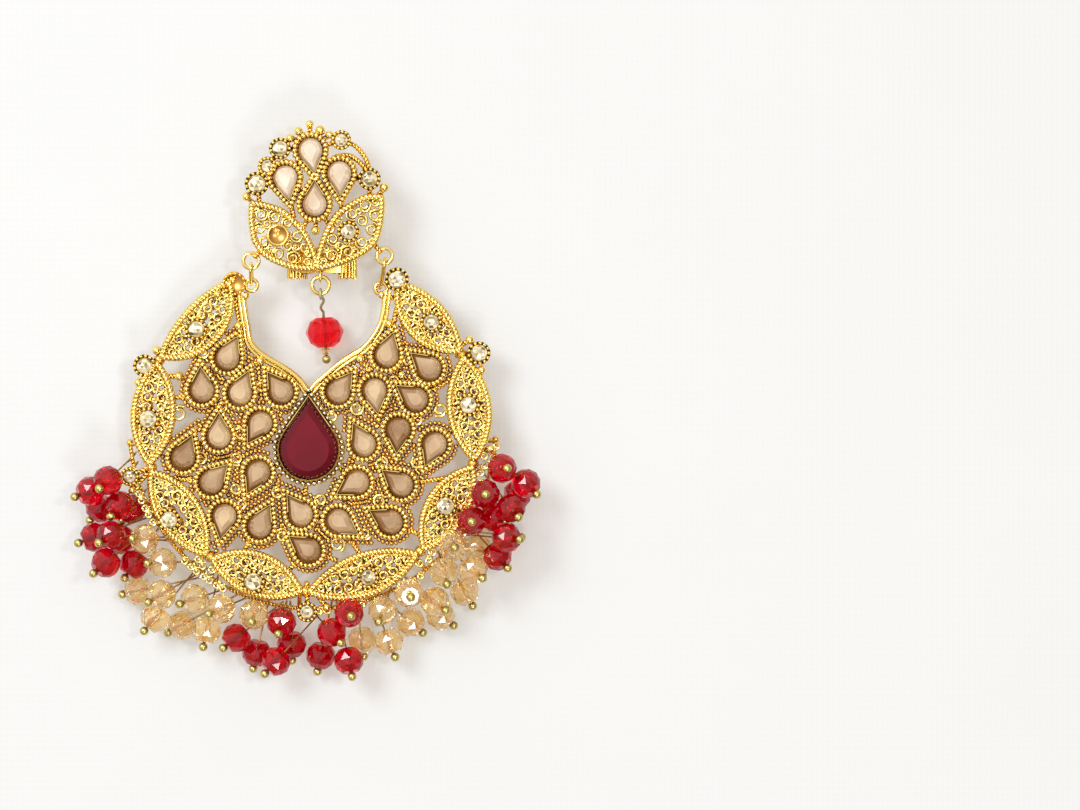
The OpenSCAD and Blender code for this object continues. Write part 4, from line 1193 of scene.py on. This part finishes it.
def add_bead(bm, place, d, thick, bore, seed, count=10, profile=BEAD_PROFILE):
    """A bead with its bore along local +X, put in place by a matrix."""
    turns = [0.0, 0.5, 0.0, 0.0, 0.5, 0.0]
    points = []
    for (at, size), turn in zip(profile, turns):
        ring = round_ring(0, 0, d / 2 * size, 0, count, turn)
        points += [Vector((at * thick, y, z)) for y, z, _ in ring]
    part = new_stone()
    add_cut(part, points, seed)
    ends = [f for f in part.faces if abs(abs(f.calc_center_median().x) - thick / 2) < 1e-4]
    for face in ends:
        reach = max(hypot(v.co.y, v.co.z) for v in face.verts)
        bmesh.ops.inset_individual(part, faces=[face], thickness=(reach - bore) * 0.96)
    rims = list({e for f in ends for e in f.edges})
    bmesh.ops.delete(part, geom=ends, context="FACES_ONLY")
    bmesh.ops.bridge_loops(part, edges=rims)
    bmesh.ops.transform(part, matrix=place, verts=part.verts)
    merge(bm, part)


def towards(start, end):
    """A frame at one point, with its +X towards another, and the distance between them."""
    d = end - start
    lean = Matrix.Rotation(atan2(d.y, d.x), 4, "Z") @ Matrix.Rotation(-asin(d.z / d.length), 4, "Y")
    return Matrix.Translation(start) @ lean, d.length


def pin_frame(row):
    """Where a bead's pin lies: its eye on the rail at the origin, and the bead's middle."""
    return towards(Vector((*on_rim(row[3], RAIL_R), RAIL_Z)), Vector(row[:3]))


BEAD_D, BEAD_T, PIN_R, HEAD_R = 4.3, 3.4, 0.2, 0.65


def build_bunch(name, rows, material):
    bm = new_stone()
    for i, row in enumerate(rows):
        place, reach = pin_frame(row)
        spin = Matrix.Rotation(radians(37 * i), 4, "X")
        add_bead(bm, place @ Matrix.Translation((reach, 0, 0)) @ spin, BEAD_D, BEAD_T,
                 PIN_R + 0.12, 100 + i)
    finish(bm, "glass_" + name, [material], ["beads_" + name], sharp=4)


for bunch, bunch_rows in BUNCHES.items():
    if bunch.endswith("red"):
        build_bunch(bunch, bunch_rows, red_glass)
    else:
        build_bunch(bunch, bunch_rows, champagne_glass)


# %% Head pins
EYE_R, PIN_WIRE = 0.9, 0.12


def build_pins(name, rows):
    bm = bmesh.new()
    for row in rows:
        place, reach = pin_frame(row)
        ball = reach + BEAD_T / 2 + HEAD_R + 0.02
        line = [place @ Vector(p) for p in eye_line(EYE_R) + [(ball, 0, 0)]]
        # The shank takes material 1, the brass painted darker as shade.
        add_wires(bm, [line], PIN_WIRE, None, sides=1, material=1)
        bmesh.ops.create_uvsphere(bm, u_segments=14, v_segments=9, radius=HEAD_R,
                                  matrix=place @ Matrix.Translation((ball, 0, 0)))
    finish(bm, "head_" + name, [pin_brass, pin_shank_in_shade], ["pins_" + name])


for bunch, bunch_rows in BUNCHES.items():
    build_pins(bunch, bunch_rows)


# %% [markdown]
# ## The drop in the scoop
# A ring hangs on the stud's bail. A thin pin with a hand-bent, wavy neck carries one large
# red bead, a tiny pale one and a ball. The wave is a sine laid across the neck's line.

# %% Drop
DROP_RING_R, DROP_EYE_R = 1.22, 0.65
# Width, length and bore of the two beads, and the gaps above the ball and under the large bead.
DROP_D, DROP_T, SEED_D, SEED_T, DROP_BORE = 5.4, 4.3, 1.4, 0.9, 0.35
SEED_GAP, DROP_GAP = 0.07, 0.15
DROP_EYE = Vector((BAIL[0], BAIL[1] - 2 * DROP_RING_R, RING_Z))
DROP_KNEE = Vector((2.5, 12.7, 2.73))
DROP_HEAD = Vector((2.95, 5.85, 2.73))


def build_drop():
    neck, neck_length = towards(DROP_EYE, DROP_KNEE)
    place, reach = towards(DROP_KNEE, DROP_HEAD)

    bm = bmesh.new()
    add_ring(bm, BAIL[0], BAIL[1] - DROP_RING_R, RING_Z, DROP_RING_R, 0.3, material=0)
    finish(bm, "drop_ring_wire", [bright_wire], ["drop_ring"])

    bm = bmesh.new()
    wave = [
        (DROP_EYE_R + (neck_length - DROP_EYE_R) * i / 16, 0.28 * sin(2 * pi * i / 16), 0.0)
        for i in range(17)]
    line = [neck @ Vector(p) for p in eye_line(DROP_EYE_R) + wave]
    line.append(place @ Vector((reach, 0, 0)))
    add_wires(bm, [line], PIN_R, None, sides=3, material=1)
    bmesh.ops.create_uvsphere(bm, u_segments=16, v_segments=10, radius=HEAD_R,
                              matrix=place @ Matrix.Translation((reach, 0, 0)))
    finish(bm, "drop_pin_wire", [pin_brass, neck_wire], ["drop_pin"])

    bm = new_stone()
    middle = reach - HEAD_R - SEED_T - DROP_T / 2 - DROP_GAP
    bead = place @ Matrix.Translation((middle, 0, 0))
    add_bead(bm, bead, DROP_D, DROP_T, DROP_BORE, 7, count=12, profile=DROP_PROFILE)
    finish(bm, "drop_glass", [cherry_glass], ["drop_bead"], sharp=4)

    bm = new_stone()
    seed = place @ Matrix.Translation((reach - HEAD_R - SEED_T / 2 - SEED_GAP, 0, 0))
    add_bead(bm, seed, SEED_D, SEED_T, DROP_BORE, 8, count=8)
    finish(bm, "drop_seed", [champagne_glass], ["drop_spacer"], sharp=30)


build_drop()


# %% [markdown]
# ## Floor, light and camera
# The earring lies on pale cloth under soft light from above. The camera looks straight down
# from half a metre, and its view is wider than the earring, which lies left of the middle.

# %% Cloth floor
def build_floor():
    bm = bmesh.new()
    bmesh.ops.create_grid(bm, x_segments=1, y_segments=1, size=0.6)
    mesh = bpy.data.meshes.new("cloth_floor")
    bm.to_mesh(mesh)
    bm.free()
    made, tree, shader = new_material("pale_cloth")
    place = node(tree, "ShaderNodeTexCoord").outputs["Object"]
    warp = node(tree, "ShaderNodeTexWave", {
        "Vector": place, "Scale": 400.0, "Distortion": 0.6, "Detail": 1.0})
    weft = node(tree, "ShaderNodeTexWave", {
        "Vector": place, "Scale": 330.0, "Distortion": 0.6}, bands_direction="Y")
    cloud = node(tree, "ShaderNodeTexNoise", {"Vector": place, "Scale": 30.0, "Detail": 3.0})
    both = node(tree, "ShaderNodeMath", {0: warp.outputs["Fac"], 1: weft.outputs["Fac"]})
    bump = node(tree, "ShaderNodeBump", {
        "Height": both.outputs[0], "Strength": 0.25, "Distance": 0.05 * MM})
    # The cloth glows a little, warm: painted light that lifts the shade and the shadow under the
    # earring. Its own colour is a cool grey, so that lit and glowing it reads pale and even.
    set_inputs(tree, shader, {
        "Normal": bump.outputs["Normal"], "Roughness": 0.9,
        "Base Color": mix_colours(
            tree, cloud.outputs[0], colour(168, 174, 180), colour(172, 178, 184)),
        "Emission Color": (1.0, 0.87, 0.73, 1), "Emission Strength": 0.34})
    mesh.materials.append(made)
    add_object("cloth_floor", mesh)


build_floor()


# %% Light
def add_lamp(name, place, aim, size, power):
    lamp = bpy.data.lights.new(name, "AREA")
    lamp.shape = "DISK"
    lamp.size = size
    lamp.energy = power
    holder = add_object(name, lamp)
    holder.location = place
    holder.rotation_euler = (Vector(aim) - Vector(place)).to_track_quat("-Z", "Y").to_euler()


def build_room():
    """A room that is light towards the window and dim away from it, for metal to reflect."""
    world = bpy.data.worlds.new("soft_room")
    world.use_nodes = True
    tree = world.node_tree
    place = node(tree, "ShaderNodeTexCoord").outputs["Generated"]
    window_side = Vector((-0.45, 0.55, 0.7)).normalized()
    facing = node(
        tree, "ShaderNodeVectorMath", {0: place, 1: window_side}, operation="DOT_PRODUCT")
    lit = remap(tree, facing.outputs["Value"], -0.1, 0.75)
    tone = mix_colours(tree, lit, (0.3, 0.23, 0.15, 1), (0.9, 0.9, 0.88, 1))
    set_inputs(tree, tree.nodes["Background"], {"Color": tone})
    bpy.context.scene.world = world


build_room()
add_lamp("window", (-0.25, 0.22, 0.45), (0, 0, 0), 0.24, 1.9)
add_lamp("lamp", (0.2, 0.05, 0.5), (0.02, 0, 0), 0.06, 0.6)
add_lamp("far_window", (0.1, -0.3, 0.4), (0, 0, 0), 0.14, 0.6)
bpy.context.scene.view_settings.view_transform = "Standard"

# %% Camera
PHOTO_MM = 154.3
PHOTO_MIDDLE = (33.6, -0.7)
HEIGHT = 500
camera = bpy.data.cameras.new("camera")
camera.sensor_width = 36
camera.lens = 36 * (HEIGHT - 5) / PHOTO_MM
camera.clip_start = 0.01
eye = add_object("camera", camera)
eye.location = (PHOTO_MIDDLE[0] * MM, PHOTO_MIDDLE[1] * MM, HEIGHT * MM)
bpy.context.scene.camera = eye
